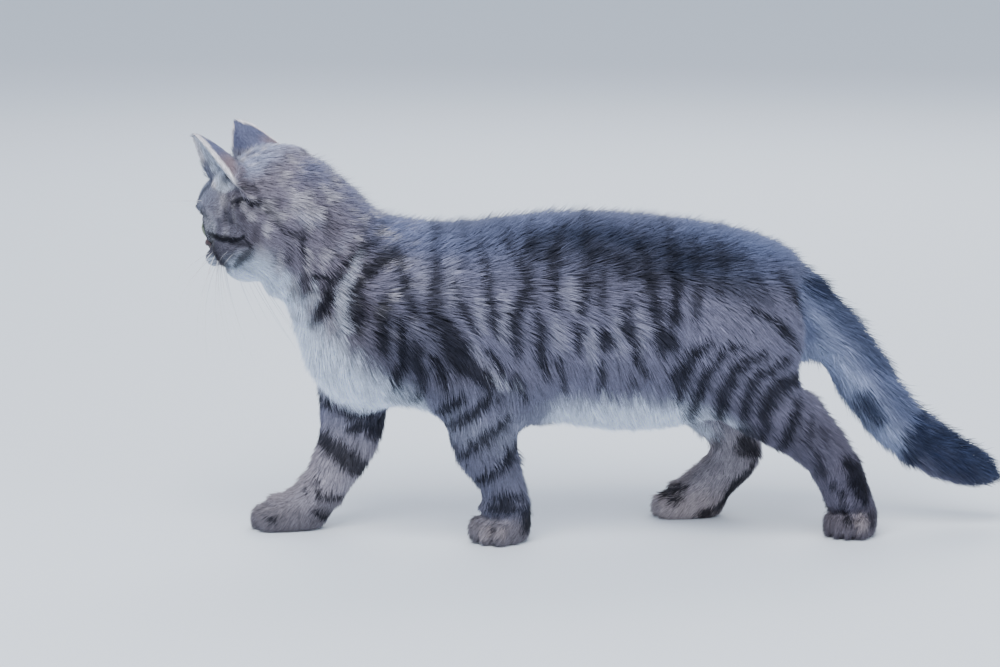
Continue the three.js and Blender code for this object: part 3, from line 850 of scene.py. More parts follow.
class Skin:
    """One skin in place of every CAD node of flesh, inside them by the depth of the coat."""

    VOXEL = 1.65
    SWELL = 0.35

    def __init__(self, anatomy: Anatomy, head: Head) -> None:
        """Keeps what the skin is shaped by."""
        self.anatomy = anatomy
        self.head = head

    def build(self) -> Object:
        """Makes the skin, sculpts it and joins the ears on."""
        mesh = remeshed(self._flesh(), self.VOXEL)
        net = Net(mesh)
        zones = self.anatomy.zones(net.points)
        net.points = net.spread(net.points, 24, zone_values(zones, "evening"))
        depth = net.spread(zone_values(zones, "depth"), 14)
        sole = ease(1.0, 9.0, net.points[:, 2])
        inward = net.spread(net.normals(), 3) * (depth * sole)[:, None]
        net.points = net.points - inward
        net.write(mesh)
        mesh = self._with_ears(remeshed(mesh, self.VOXEL))
        self._refine(mesh)
        self._shape(mesh)
        self.head.opened(mesh)
        skin = mesh_object("skin", mesh)
        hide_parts(*ZONE_NAMES)
        for face in mesh.polygons:
            face.use_smooth = True
        return skin

    def _flesh(self) -> Mesh:
        """The CAD nodes of flesh, swollen until they meet."""
        whole = bmesh.new()
        for name in FLESH:
            part = shape_of(frame["nodes"][name].data)
            bmesh.ops.remove_doubles(part, verts=part.verts, dist=0.001 * MM)
            part.normal_update()
            for vert in part.verts:
                vert.co += vert.normal * self.SWELL * MM
            whole.from_mesh(new_mesh(name, part))
        return new_mesh("flesh", whole)

    def _refine(self, mesh: Mesh) -> None:
        """Gives the face and toes smaller cells, and the eyes' surrounds smaller ones still."""
        points = Net(mesh).points
        local = self.head.axes.local(points)
        toes = np.zeros(len(points), bool)
        for paw in PAWS:
            ahead, left, up = paw.axes().local(points).T
            toes |= (np.hypot(ahead, left) < paw.length * 0.85) & (up < 19) & (ahead > -2)
        subdivided(mesh, ((self.head.face_share(local) > 0.3) & (local[:, 0] > 0)) | toes)
        self._shape(mesh)
        points = Net(mesh).points
        around = np.zeros(len(points), bool)
        for eye in self.head.eyes:
            reach, away, turn = eye.polar(points)
            around |= (away < eye.margin(turn) + 22) & (reach < eye.radius * 1.7)
        ahead, left, up = self.head.axes.local(points).T
        around |= (np.abs(left) < 13) & (up < -7) & (up > -22) & (ahead > 18)
        subdivided(mesh, around)

    def _shape(self, mesh: Mesh) -> None:
        """Moves the skin onto the sculpted face and toes."""
        net = Net(mesh)
        zones = self.anatomy.zones(net.points)
        evened = 0.35 * (1 - self.head.ear_share(self.head.axes.local(net.points)))
        net.points = net.spread(net.points, 4, evened)
        net.points = self.head.sculpted(net.points)
        for paw in PAWS:
            net.points = paw.sculpted(net.points, zones)
        net.points = net.spread(net.points, 2, evened)
        net.points = self.head.creased(net.points, net.normals())
        net.points = self.head.lidded(net.points)
        net.points[:, 2] = np.maximum(net.points[:, 2], 0.05)
        net.write(mesh)

    @staticmethod
    def _hollow(ear: Ear, name: str) -> Object:
        """A smooth egg that carves the ear's bowl into the head between its walls."""
        base, up, facing, outward, height = ear.directions()
        shape = bmesh.new()
        bmesh.ops.create_icosphere(shape, subdivisions=4, radius=1)
        middle = base + up * height * 0.34 - facing * 3.6 + outward * 0.8
        spread = np.array([up * 11.0, outward * 8.4, facing * 7.2])
        set_spots(shape.verts, middle + spots_of(shape.verts) @ spread)
        bmesh.ops.recalc_face_normals(shape, faces=shape.faces)
        return linked(name, new_mesh(name, shape))

    def _with_ears(self, mesh: Mesh) -> Mesh:
        """The skin with both ears united to it."""
        holder = linked("holder", mesh)
        tools = []
        for name, ear in zip(("left", "right"), self.head.ears()):
            cup = linked(f"cup_{name}", ear.build(f"cup_{name}"))
            for operation, tool in (("UNION", cup), ("DIFFERENCE", self._hollow(ear, f"hollow_{name}"))):
                modifier = holder.modifiers.new(tool.name, "BOOLEAN")
                modifier.operation = operation
                modifier.solver = "MANIFOLD"
                modifier.object = tool
                tools.append(tool)
        made = evaluated(holder)
        for extra in (holder, *tools):
            bpy.data.objects.remove(extra)
        net = Net(made)
        local = self.head.axes.local(net.points)
        gap = np.abs(self.head.under_coat(local))
        beside = np.min([np.linalg.norm(local - (-2, side * 17, 14), axis=1) for side in (1, -1)], axis=0)
        net.points = net.spread(net.points, 12, 0.5 * ease(3.2, 0.8, gap) * ease(28, 21, beside))
        net.write(made)
        return made


# ---- Eyes, nose and whiskers ----


def smooth_object(name: str, shape: BMesh) -> Object:
    """A smoothly shaded object from a finished shape."""
    mesh = new_mesh(name, shape)
    mesh.polygons.foreach_set("use_smooth", [True] * len(mesh.polygons))
    return mesh_object(name, mesh)


@dataclass(frozen=True)
class EyeBall:
    """A ball with a bulging cornea, mapped so that its iris can be painted about its axis."""

    eye: Eye
    segments: int = 72
    rings: int = 44
    bulge: float = 0.55

    def build(self, name: str) -> Object:
        """Makes the ball in place of its CAD node."""
        shape = bmesh.new()
        bmesh.ops.create_uvsphere(shape, u_segments=self.segments, v_segments=self.rings, radius=1)
        pole = spots_of(shape.verts)
        away = np.degrees(np.arccos(np.clip(pole[:, 2], -1, 1)))
        turn = np.arctan2(pole[:, 1], pole[:, 0])
        reach = self.eye.radius - 0.15 + self.bulge * ease(46, 12, away)
        set_spots(shape.verts, self.eye.place(reach, away, turn))
        bmesh.ops.recalc_face_normals(shape, faces=shape.faces)
        disc = shape.loops.layers.uv.new("Iris")
        lean = dict(zip(shape.verts, zip(away, turn)))
        for face in shape.faces:
            for loop in face.loops:
                spread, around = lean[loop.vert]
                loop[disc].uv = [0.5 + spread / 180 * way(around) for way in (math.cos, math.sin)]
        ball = smooth_object(name, shape)
        ball.data.materials.append(Iris().material())
        return ball


@dataclass(frozen=True)
class Nose:
    """The bare leather at the end of the nose, with its nostrils."""

    head: Head
    detail: int = 5

    def form(self) -> Field:
        """The leather in the head's axes."""
        pad = joined(
            1.6,
            lump((32.2, 0, -3.6), (3.2, 3.3, 2.2)),
            lump((32.4, 0, -6.2), (2.7, 1.2, 2.5)),
            *pair((31.6, 2.3, -4.3), (2.6, 1.7, 1.8)),
        )
        groove = lump((36.2, 0, -7.0), (1.4, 0.25, 3.0))
        return hollowed(
            0.5,
            pad,
            groove,
            *pair((35.0, 1.45, -4.7), (1.6, 0.72, 0.7)),
            *pair((34.0, 2.45, -5.3), (2.0, 1.1, 0.38)),
        )

    def build(self) -> Object:
        """Makes the nose in place of its CAD node."""
        shape = bmesh.new()
        bmesh.ops.create_icosphere(shape, subdivisions=self.detail, radius=1)
        ball = spots_of(shape.verts)
        form = self.form()
        reach = np.full(len(ball), 0.5)
        middle = np.array((32.6, 0, -4.6))
        for _ in range(60):
            reach = reach + np.clip(-form(middle + ball * reach[:, None]), -0.2, 0.2) * 0.6
        set_spots(shape.verts, self.head.axes.world(middle + ball * reach[:, None]))
        bmesh.ops.recalc_face_normals(shape, faces=shape.faces)
        nose = smooth_object("nose_leather", shape)
        nose.data.materials.append(Leather().material())
        return nose


@dataclass(frozen=True)
class Whiskers:
    """Long stiff hairs in rows on the muzzle, with a few over each eye."""

    head: Head
    thickness: float = 0.19
    sides: int = 5
    steps: int = 12

    def build(self) -> Object:
        """Makes every whisker as one piece."""
        rng = np.random.default_rng(SEED)
        shape = bmesh.new()
        for side in (1, -1):
            for row in range(4):
                for place in range(4):
                    root = (28.8 - 2.0 * place, side * (8.4 + 0.7 * place), -9.6 - 1.6 * row)
                    rise = -0.12 - 0.24 * row - 0.18 * place + rng.normal(0, 0.08)
                    aim = (0.70 - 0.20 * place + rng.normal(0, 0.08), side * (0.70 - 0.05 * row), rise)
                    length = (37 + 1.8 * place) * rng.uniform(0.8, 1.03)
                    self._grow(shape, root, aim, length, 0.40 + 0.06 * row, rng)
            for place in range(4):
                root = (20.5 - 1.5 * place, side * (9.5 + 1.4 * place), 13.6 + 0.2 * place)
                aim = (0.80 - 0.1 * place, side * (0.30 + 0.2 * place), 0.45)
                self._grow(shape, root, aim, rng.uniform(17, 25), 0.22, rng)
            for place in range(2):
                root = (8.0 - 3 * place, side * 26.0, -9.5 - 2 * place)
                self._grow(shape, root, (0.15, side * 1.0, -0.15), rng.uniform(13, 18), 0.2, rng)
        whiskers = smooth_object("whiskers", shape)
        whiskers.data.materials.append(Hair("whisker", (0.86, 0.87, 0.92), 0.35).material())
        return whiskers

    def _grow(
        self,
        shape: BMesh,
        root: tuple,
        aim: tuple,
        length: float,
        droop: float,
        rng: np.random.Generator,
    ) -> None:
        """Adds one tapered, drooping hair.

        Args:
            shape: What it is added to.
            root: A place near the skin that it grows from, along the head's axes.
            aim: Where it points, along the head's axes.
            length: How long it is.
            droop: How much of its length it sinks by.
            rng: Draws its sideways sway.
        """
        head = self.head
        start = settled(head.under_coat, np.array([root], float))[0]
        direction = unit(np.array(aim, float))
        sway = rng.normal(0, 0.05)
        made = bmesh.ops.create_circle(shape, segments=self.sides, radius=1)
        ring = made["verts"]
        edges = list({edge for vert in ring for edge in vert.link_edges})
        bmesh.ops.contextual_create(shape, geom=edges)
        for step in range(self.steps + 1):
            along = step / self.steps
            bend = np.array((-0.22 * along**2, sway * along, -droop * along**2 * 0.7))
            spot = start + direction * (length * along - 0.6) + bend * length
            radius = min(self.thickness, 0.005 * length) * (1 - 0.85 * along)
            self._ring(ring, spot, direction, radius)
            if step < self.steps:
                made = bmesh.ops.extrude_edge_only(shape, edges=edges)["geom"]
                ring = [part for part in made if isinstance(part, BMVert)]
                edges = [part for part in made if isinstance(part, BMEdge)]
        bmesh.ops.contextual_create(shape, geom=edges)

    def _ring(self, ring: list, spot: Array, direction: Array, radius: float) -> None:
        """Lays a ring of corners square to a whisker."""
        across = unit(np.cross(direction, (0, 0, 1)))
        over = np.cross(across, direction)
        for number, vert in enumerate(ring):
            turn = math.tau * number / self.sides
            local = spot + (across * math.cos(turn) + over * math.sin(turn)) * radius
            vert.co = self.head.axes.world(local[None])[0] * MM


# ---- Finishes ----


class Nodes:
    """A node tree, with a short way to add nodes and join them."""

    def __init__(self, tree: bpy.types.NodeTree) -> None:
        """Keeps the tree that nodes are added to."""
        self.tree = tree

    def add(self, kind: str, **settings) -> bpy.types.Node:
        """A new node; names of its settings or of its inputs give their values or sockets."""
        node = self.tree.nodes.new(kind)
        for name, value in settings.items():
            if hasattr(node, name):
                setattr(node, name, value)
            else:
                self.give(node.inputs[name.replace("_", " ")], value)
        return node

    def give(self, target: NodeSocket, value) -> None:
        """Sets an input to a number or a colour, or links an output to it."""
        if isinstance(value, NodeSocket):
            self.tree.links.new(value, target)
        else:
            target.default_value = value

    def place(self) -> NodeSocket:
        """Where the shaded spot is, in the object's own metres."""
        return self.add("ShaderNodeTexCoord").outputs["Object"]

    def noise(self, place: NodeSocket, **settings) -> NodeSocket:
        """Smooth random values over a place."""
        return self.add("ShaderNodeTexNoise", Vector=place, **settings).outputs["Fac"]

    def span(self, value: NodeSocket, low: float, high: float, **settings) -> NodeSocket:
        """A value carried from one range to another, from 0 to 1 if none is given."""
        return self.add("ShaderNodeMapRange", Value=value, From_Min=low, From_Max=high, **settings).outputs[0]

    def bump(self, height: NodeSocket, strength: float, distance: float) -> NodeSocket:
        """A surface direction made uneven by a height."""
        return self.add("ShaderNodeBump", Strength=strength, Distance=distance, Height=height).outputs[0]

    def maths(self, operation: str, a, b) -> NodeSocket:
        """One sum of numbers or sockets."""
        node = self.add("ShaderNodeMath", operation=operation)
        for slot, value in enumerate((a, b)):
            self.give(node.inputs[slot], value)
        return node.outputs[0]

    def ramp(self, share: NodeSocket, stops: dict[float, tuple]) -> NodeSocket:
        """Colours along a value from 0 to 1."""
        node = self.add("ShaderNodeValToRGB")
        elements = node.color_ramp.elements
        elements.remove(elements[1])
        for number, (place, colour) in enumerate(sorted(stops.items())):
            element = elements.new(place) if number else elements[0]
            element.position = place
            element.color = (*colour, 1)
        self.give(node.inputs["Fac"], share)
        return node.outputs["Color"]

    def blend(self, share: NodeSocket, a, b) -> NodeSocket:
        """Two colours mixed; each is a socket or plain numbers."""
        node = self.add("ShaderNodeMix", data_type="RGBA")
        for slot, value in ((0, share), (6, a), (7, b)):
            self.give(node.inputs[slot], value)
        return node.outputs[2]


class Finish(Nodes):
    """A new material's node tree, with its Principled shader."""

    def __init__(self, name: str) -> None:
        """Starts the material."""
        self.made = bpy.data.materials.new(name)
        self.made.use_nodes = True
        super().__init__(self.made.node_tree)
        self.shader = self.tree.nodes["Principled BSDF"]

    def finished(self, **settings) -> Material:
        """The material, after the Principled shader's inputs are given their values or sockets."""
        for name, value in settings.items():
            self.give(self.shader.inputs[name.replace("_", " ")], value)
        return self.made


class Strands:
    """A shader group shared by skin and coat: paint broken by fine strands."""

    NAME = "strands"
    SOCKETS = (
        ("Paint", "INPUT", "NodeSocketColor"),
        ("Scale", "INPUT", "NodeSocketFloat"),
        ("Color", "OUTPUT", "NodeSocketColor"),
        ("Height", "OUTPUT", "NodeSocketFloat"),
    )

    @classmethod
    def group(cls) -> bpy.types.NodeTree:
        """Makes the group once."""
        if cls.NAME in bpy.data.node_groups:
            return bpy.data.node_groups[cls.NAME]
        made = bpy.data.node_groups.new(cls.NAME, "ShaderNodeTree")
        for name, way, kind in cls.SOCKETS:
            made.interface.new_socket(name, in_out=way, socket_type=kind)
        nodes = Nodes(made)
        given = nodes.add("NodeGroupInput")
        result = nodes.add("NodeGroupOutput")
        fine = nodes.noise(nodes.place(), Scale=given.outputs["Scale"], Detail=2.0)
        level = nodes.span(fine, 0.3, 0.7, To_Min=0.86, To_Max=1.14)
        shade = nodes.add("ShaderNodeHueSaturation", Value=level, Color=given.outputs["Paint"])
        nodes.give(result.inputs["Color"], shade.outputs["Color"])
        nodes.give(result.inputs["Height"], fine)
        return made


@dataclass(frozen=True)
class Iris:
    """A grey-green iris with fine spokes, a dark rim and an upright pupil, under a wet cornea."""

    pupil: tuple[float, float] = (0.095, 0.165)
    black: Colour = (0.004, 0.004, 0.005)
    spokes: float = 9.0

    def material(self) -> Material:
        """Makes the material once."""
        if "iris" in bpy.data.materials:
            return bpy.data.materials["iris"]
        nodes = Finish("iris")
        disc = nodes.add("ShaderNodeUVMap", uv_map="Iris").outputs["UV"]
        centred = nodes.add("ShaderNodeMapping", Vector=disc, Location=(-0.5, -0.5, 0)).outputs["Vector"]
        reach = nodes.add("ShaderNodeVectorMath", operation="LENGTH", Vector=centred).outputs["Value"]
        spoke = nodes.add("ShaderNodeVectorMath", operation="NORMALIZE", Vector=centred).outputs["Vector"]
        streaks = nodes.noise(spoke, Scale=self.spokes, Detail=4.0, Roughness=0.65)
        ripple = nodes.maths("MULTIPLY", nodes.maths("SUBTRACT", streaks, 0.5), 0.05)
        tone = nodes.ramp(
            nodes.maths("MULTIPLY", nodes.maths("ADD", reach, ripple), 2.6),
            {
                0.20: (0.150, 0.120, 0.042),
                0.38: (0.115, 0.130, 0.055),
                0.56: (0.080, 0.108, 0.066),
                0.68: (0.018, 0.023, 0.018),
                0.78: (0.003, 0.003, 0.004),
            },
        )
        parts = nodes.add("ShaderNodeSeparateXYZ", Vector=centred)
        wide, tall = (nodes.maths("DIVIDE", parts.outputs[n], self.pupil[n]) for n in (0, 1))
        oval = nodes.maths("ADD", nodes.maths("MULTIPLY", wide, wide), nodes.maths("MULTIPLY", tall, tall))
        colour = nodes.blend(nodes.span(oval, 0.9, 1.15), (*self.black, 1), tone)
        return nodes.finished(
            Base_Color=colour, Roughness=0.12, Coat_Weight=0.24, Coat_Roughness=0.02, Specular_IOR_Level=0.1
        )


@dataclass(frozen=True)
class Leather:
    """Moist nose leather with fine pebbles, in random patches of dark, pink and a lighter gleam."""

    pink: Colour = (0.080, 0.042, 0.046)
    dark: Colour = (0.016, 0.011, 0.015)
    gleam: Colour = (0.14, 0.080, 0.082)

    def material(self) -> Material:
        """Makes the material."""
        nodes = Finish("nose leather")
        place = nodes.place()
        patches = nodes.noise(place, Scale=420.0, Detail=3.0)
        tone = nodes.ramp(patches, {0.36: self.dark, 0.58: self.pink, 0.85: self.gleam})
        pebbles = nodes.add("ShaderNodeTexVoronoi", Vector=place, Scale=2600.0).outputs["Distance"]
        return nodes.finished(Base_Color=tone, Normal=nodes.bump(pebbles, 0.35, 0.0001), Roughness=0.38)


@dataclass(frozen=True)
class Hair:
    """Plain stiff hair of one colour, a little uneven along its length."""

    name: str
    colour: tuple
    roughness: float

    def material(self) -> Material:
        """Makes the material."""
        nodes = Finish(self.name)
        darker = tuple(0.8 * value for value in self.colour)
        tone = nodes.ramp(nodes.noise(nodes.place(), Scale=300.0), {0.3: darker, 0.7: self.colour})
        return nodes.finished(Base_Color=tone, Roughness=self.roughness)


@dataclass(frozen=True)
class Paint:
    """Matt paint of one colour."""

    name: str = "pale floor"
    colour: Colour = (0.74, 0.80, 0.88)
    roughness: float = 0.8

    def material(self) -> Material:
        """Makes the material."""
        return Finish(self.name).finished(Base_Color=(*self.colour, 1), Roughness=self.roughness)


@dataclass(frozen=True)
class Fur:
    """The finish of skin and coat: the painted markings, broken by fine strands."""

    name: str
    roughness: float
    strands: float
    relief: float

    def material(self) -> Material:
        """Makes the material once."""
        if self.name in bpy.data.materials:
            return bpy.data.materials[self.name]
        nodes = Finish(self.name)
        paint = nodes.add("ShaderNodeAttribute", attribute_name="Coat").outputs["Color"]
        group = Strands.group()
        strands = nodes.add("ShaderNodeGroup", node_tree=group, Scale=self.strands, Paint=paint).outputs
        if self.relief:
            nodes.finished(Normal=nodes.bump(strands["Height"], self.relief, 0.0002))
        return nodes.finished(
            Base_Color=strands["Color"], Roughness=self.roughness, Specular_IOR_Level=0.18, Sheen_Weight=0.03
        )


# ---- Markings: the colours of skin and coat, from places on the body ----


@dataclass(frozen=True)
class Stripe:
    """A stroke of one tone along a curve drawn on the cat's side.

    On the body a point is (x, z). On the cheeks it is (ahead, up) and on the forehead (left, up), in
    the head's axes. All in millimetres.
    """

    points: tuple[tuple[float, float], ...]
    width: float
    strength: float = 0.8

    def shade(self, flat: Array, reached: Array) -> None:
        """Raises the share of the tone at the flat points that the stroke covers.

        Args:
            flat: Points in the stroke's plane.
            reached: The share of the tone at each, from 0 to 1, changed in place.
        """
        path = self._curve()
        margin = 1.5 * self.width
        near = np.all((flat > path.min(axis=0) - margin) & (flat < path.max(axis=0) + margin), axis=1)
        spots = flat[near]
        nearest = np.full(len(spots), 1e9)
        along = np.zeros(len(spots))
        for number, (start, end) in enumerate(zip(path[:-1], path[1:])):
            step = end - start
            t = np.clip((spots - start) @ step / max(step @ step, 1e-9), 0, 1)
            gap = np.linalg.norm(spots - start - t[:, None] * step, axis=1)
            closer = gap < nearest
            nearest = np.where(closer, gap, nearest)
            along = np.where(closer, (number + t) / (len(path) - 1), along)
        girth = 1.05 * self.width * (0.5 + 0.5 * np.sin(np.pi * np.clip(along, 0, 1)) ** 0.6)
        share = self.strength * ease(1.45, 0.35, nearest / girth)
        reached[near] = np.maximum(reached[near], share)

    def _curve(self) -> Array:
        """The stroke's points with rounded bends."""
        points = np.array(self.points, float)
        for _ in range(2):
            if len(points) > 2:
                near, far = points[:-1], points[1:]
                cut = np.stack([near * 0.75 + far * 0.25, near * 0.25 + far * 0.75], 1).reshape(-1, 2)
                points = np.vstack([points[:1], cut[1:-1], points[-1:]])
        return points


def strokes(*rows: tuple) -> tuple[Stripe, ...]:
    """Strokes from rows of points, each row ended by a width and a strength."""
    return tuple(Stripe(row[:-2], *row[-2:]) for row in rows)


@dataclass(frozen=True)
class Tones:
    """The coat's colours."""

    pale: Colour = (0.74, 0.83, 1.0)
    silver: Colour = (0.165, 0.168, 0.250)
    lilac: Colour = (0.225, 0.205, 0.265)
    cream: Colour = (0.360, 0.320, 0.345)
    slate: Colour = (0.020, 0.024, 0.055)
    brown: Colour = (0.085, 0.075, 0.105)
    ink: Colour = (0.002, 0.003, 0.009)
    tail_ink: Colour = (0.007, 0.014, 0.042)
    saddle: Colour = (0.0055, 0.0070, 0.0150)
    light: Colour = (0.34, 0.35, 0.46)
    # Painted highlight: a sky blue laid over fur that faces up.
    sky_lit_top: Colour = (0.120, 0.165, 0.330)
    foreleg: Colour = (0.135, 0.143, 0.205)
    feet: Colour = (0.20, 0.185, 0.215)
    # Painted shade on the far forepaw.
    far_foot_shade: Colour = (0.10, 0.098, 0.125)
    inner_leg: Colour = (0.42, 0.41, 0.50)
    tail_below: Colour = (0.41, 0.49, 0.73)
    tail_above: Colour = (0.105, 0.14, 0.255)
    crown: Colour = (0.30, 0.35, 0.52)
    streak: Colour = (0.055, 0.048, 0.068)
    fleck: Colour = (0.56, 0.55, 0.62)
    ear_back: Colour = (0.105, 0.118, 0.210)
    ear_worn: Colour = (0.20, 0.155, 0.180)
    ear_rim: Colour = (0.74, 0.72, 0.78)
    ear_lining: Colour = (0.60, 0.66, 0.80)
    ear_flesh: Colour = (0.30, 0.23, 0.27)
    # Painted shade deep in the ear's bowl.
    ear_hollow: Colour = (0.020, 0.018, 0.028)
    ear_fringe: Colour = (0.66, 0.66, 0.74)
    face: Colour = (0.190, 0.188, 0.250)
    forehead: Colour = (0.28, 0.33, 0.47)
    lids: Colour = (0.50, 0.52, 0.60)


# Dark strokes on the near side: shoulder, ribs, flank and thigh, with painted shadows behind the upper arm
# and between the thigh and the tail.
TRUNK = strokes(
    ((-104, 149), (-112, 142), (-121, 137), (-129, 131), 2.6, 0.75),
    ((-99, 139), (-108, 137), (-114, 130), (-120, 121), 3.4, 0.9),
    ((-139, 128), (-131, 128), (-124, 129), 2.2, 0.8),
    ((-141, 129), (-146, 124), (-150, 117), 2.2, 0.65),
    ((-131, 126), (-131, 117), (-135, 110), (-140, 105), 3.2, 0.8),
    ((-149, 118), (-143, 121), (-137, 123), 2.0, 0.65),
    ((-147, 110), (-143, 108), 2.0, 0.4),
    ((-118, 150), (-115, 146), 2.2, 0.6),
    ((-151, 150), (-147, 148), (-143, 146), 2.0, 0.62),
    ((-143, 152), (-144, 143), (-143, 134), 1.4, 0.72),
    ((-158, 160), (-156, 153), (-152, 149), 1.7, 0.5),
    ((-172, 177), (-170, 169), 1.5, 0.55),
    ((-167, 173), (-164, 164), 1.6, 0.65),
    ((-161, 167), (-160, 159), 1.5, 0.55),
    ((-177, 163), (-170, 165), (-166, 163), 1.4, 0.7),
    # Painted shadow: the dark line where the tail lies over the rump.
    ((78, 126), (83, 119), (89, 108), (95, 97), (101, 85), 2.3, 1.0),
    ((-134, 162), (-131, 152), (-133, 143), 1.8, 0.45),
    ((-152, 141), (-150, 134), 1.8, 0.5),
    ((-127, 141), (-131, 135), 2.0, 0.4),
    ((-118, 120), (-118, 112), (-119, 104), 5.0, 0.72),
    ((-105, 119), (-107, 112), (-107, 102), (-106, 92), 3.6, 0.75),
    ((-99, 139), (-98, 128), (-95, 118), (-90, 110), 3.2, 0.72),
    ((-99, 110), (-98, 100), (-97, 92), (-101, 83), (-101, 74), 3.6, 0.85),
    ((-103, 72), (-95, 71), (-87, 75), 3.2, 0.95),
    ((-78, 150), (-82, 139), (-83, 128), (-83, 116), (-85, 105), 3.2, 0.68),
    # A dark stripe widened into the painted shadow behind the upper arm.
    ((-80, 108), (-76, 99), (-72, 91), (-66, 85), (-59, 80), 6.4, 1.0),
    ((-91, 99), (-92, 89), (-88, 79), 3.4, 0.7),
    ((-84, 92), (-80, 84), (-78, 77), 3.4, 0.8),
    ((-66, 152), (-66, 141), (-70, 130), 2.4, 0.4),
    ((-73, 125), (-71, 117), (-68, 109), (-64, 102), 2.7, 0.72),
    ((-61, 142), (-58, 127), (-58, 118), (-56, 110), (-54, 101), 2.9, 0.75),
    ((-60, 97), (-56, 90), (-52, 83), (-48, 76), 2.1, 0.85),
    ((-48, 146), (-42, 132), (-40, 124), (-43, 117), (-46, 108), (-46, 98), (-45, 91), 3.0, 0.85),
    ((-48, 84), (-44, 76), (-42, 70), 2.1, 0.6),
    ((-34, 149), (-37, 140), (-38, 130), 3.0, 0.7),
    ((-36, 116), (-35, 107), (-35, 98), (-34, 90), (-32, 81), 3.1, 0.82),
    ((-19, 149), (-23, 142), (-28, 135), (-28, 127), (-27, 115), 3.4, 0.9),
    ((-19, 107), (-18, 100), (-18, 94), 2.6, 0.85),
    ((-26, 90), (-24, 83), (-25, 75), 2.5, 0.65),
    ((-9, 150), (-9, 140), (-12, 131), (-14, 123), (-14, 111), 3.2, 0.78),
    ((-3, 140), (-5, 128), (-6, 120), (-6, 112), 2.7, 0.7),
    ((-5, 104), (-5, 95), 3.8, 0.9),
    ((-6, 87), (-5, 75), 2.3, 0.7),
    ((3, 136), (5, 126), 3.5, 0.7),
    ((7, 119), (6, 110), (7, 103), (9, 96), (11, 89), (16, 82), 2.9, 0.75),
    ((8, 80), (8, 75), 2.2, 0.6),
    ((14, 143), (16, 132), (19, 122), (19, 112), (20, 102), (22, 91), 3.4, 0.92),
    ((30, 147), (30, 133), (29, 122), (28, 112), (26, 98), 3.4, 0.92),
    ((21, 98), (28, 96), 5.0, 0.95),
    ((41, 142), (42, 130), (39, 118), (37, 107), 2.6, 0.65),
    ((52, 141), (54, 130), (50, 119), 2.8, 0.6),
    ((64, 138), (66, 128), (72, 120), 2.6, 0.55),
    ((39, 97), (34, 90), (30, 83), (26, 79), 3.2, 0.8),
    # Painted shadow: a dark line along the top of the thigh, under the tail.
    ((60, 114), (68, 110), (75, 106), (80, 100), (86, 91), 1.9, 0.95),
)
# The mottled dark saddle over the back.
SADDLE = strokes(
    ((-34, 141), (-8, 142), (14, 138), (34, 134), (58, 133), 11.0, 0.95),
    ((-80, 146), (-58, 146), (-34, 145), 6.5, 0.5),
    ((40, 128), (60, 122), (72, 116), 8.0, 0.6),
)
# Arcs down the near thigh.
THIGH = strokes(
    ((44, 97), (37, 91), (33, 84), (32, 76), (31, 69), 3.6, 0.88),
    ((60, 96), (51, 93), (45, 87), (42, 79), (40, 70), (39, 62), (39, 54), 3.0, 0.92),
    ((70, 92), (59, 88), (53, 80), (51, 71), (51, 62), (50, 51), 3.1, 0.92),
    ((80, 88), (69, 84), (63, 77), (61, 69), (61, 61), 3.1, 0.92),
    ((60, 56), (65, 54), 3.4, 1.0),
    ((92, 79), (83, 79), (76, 76), (71, 70), (69, 63), (70, 49), 4.4, 0.85),
    ((86, 68), (83, 62), (82, 54), (79, 46), 3.3, 0.92),
    ((92, 62), (91, 53), (90, 46), 2.0, 0.7),
    ((97, 56), (100, 46), 2.2, 0.45),
    ((94, 46), (98, 38), (101, 30), 2.2, 0.6),
    ((111, 38), (115, 31), (118, 25), (120, 18), 5.0, 0.96),
    ((105, 29), (106, 23), 1.8, 0.6),
    ((109, 24), (111, 14), (112, 7), 1.7, 0.7),
    ((124, 12), (124, 5), 2.4, 0.6),
)
FORELEG_LEFT = strokes(
    ((-81, 66), (-76, 70), (-70, 74), 2.7, 0.9),
    ((-79, 56), (-74, 60), (-68, 64), (-62, 68), (-60, 75), 3.1, 1.0),
    ((-71, 43), (-66, 49), (-60, 53), (-54, 58), (-50, 63), 2.6, 1.0),
    ((-79, 56), (-77, 49), (-74, 44), 2.7, 0.8),
    ((-46, 52), (-48, 45), (-52, 39), (-58, 34), (-64, 31), 2.5, 1.0),
    ((-65, 28), (-60, 23), 2.0, 0.55),
    ((-59, 18), (-52, 19), (-45, 17), 3.0, 0.9),
    ((-56, 24), (-50, 24), (-43, 22), 2.3, 0.85),
    ((-41, 18), (-39, 12), (-41, 5), 3.2, 0.8),
    ((-57, 10), (-58, 2), 1.1, 0.8),
    ((-41, 33), (-40, 26), 1.7, 0.4),
    ((-56, 70), (-53, 74), 2.0, 0.5),
)
FORELEG_RIGHT = strokes(
    ((-137, 69), (-130, 65), (-125, 60), (-120, 56), 3.3, 0.85),
    # Painted shade across the far foreleg.
    ((-122, 60), (-112, 56), (-104, 53), 6.5, 0.55),
    ((-121, 50), (-113, 48), (-105, 46), (-101, 42), 3.3, 0.95),
    ((-138, 47), (-131, 42), (-126, 37), (-120, 33), (-112, 31), 4.6, 1.0),
    ((-135, 20), (-130, 17), (-124, 14), 2.2, 0.85),
    ((-137, 24), (-132, 24), 1.9, 0.65),
    ((-142, 21), (-140, 20), 1.9, 0.55),
    ((-136, 10), (-130, 6), 2.2, 0.6),
    ((-162, 4), (-157, 5), 2.4, 0.5),
)
HINDFOOT_RIGHT = strokes(
    ((78, 31), (74, 25), (70, 18), (65, 12), (58, 6), (50, 2), 3.4, 0.96),
    ((32, 9), (38, 12), (44, 15), 2.8, 0.8),
)
TAIL = strokes(
    ((96, 116), (111, 110), (122, 102), (131, 92), (138, 82), (146, 71), (153, 61), 6.6, 0.8),
    ((106, 104), (118, 94), (127, 84), (134, 74), 4.5, 0.35),
    ((124, 66), (129, 59), (133, 53), 4.0, 0.75),
    ((160, 54), (151, 48), (148, 41), (151, 33), 5.5, 0.92),
    ((156, 40), (170, 36), (184, 31), (196, 28), 13.0, 0.8),
)
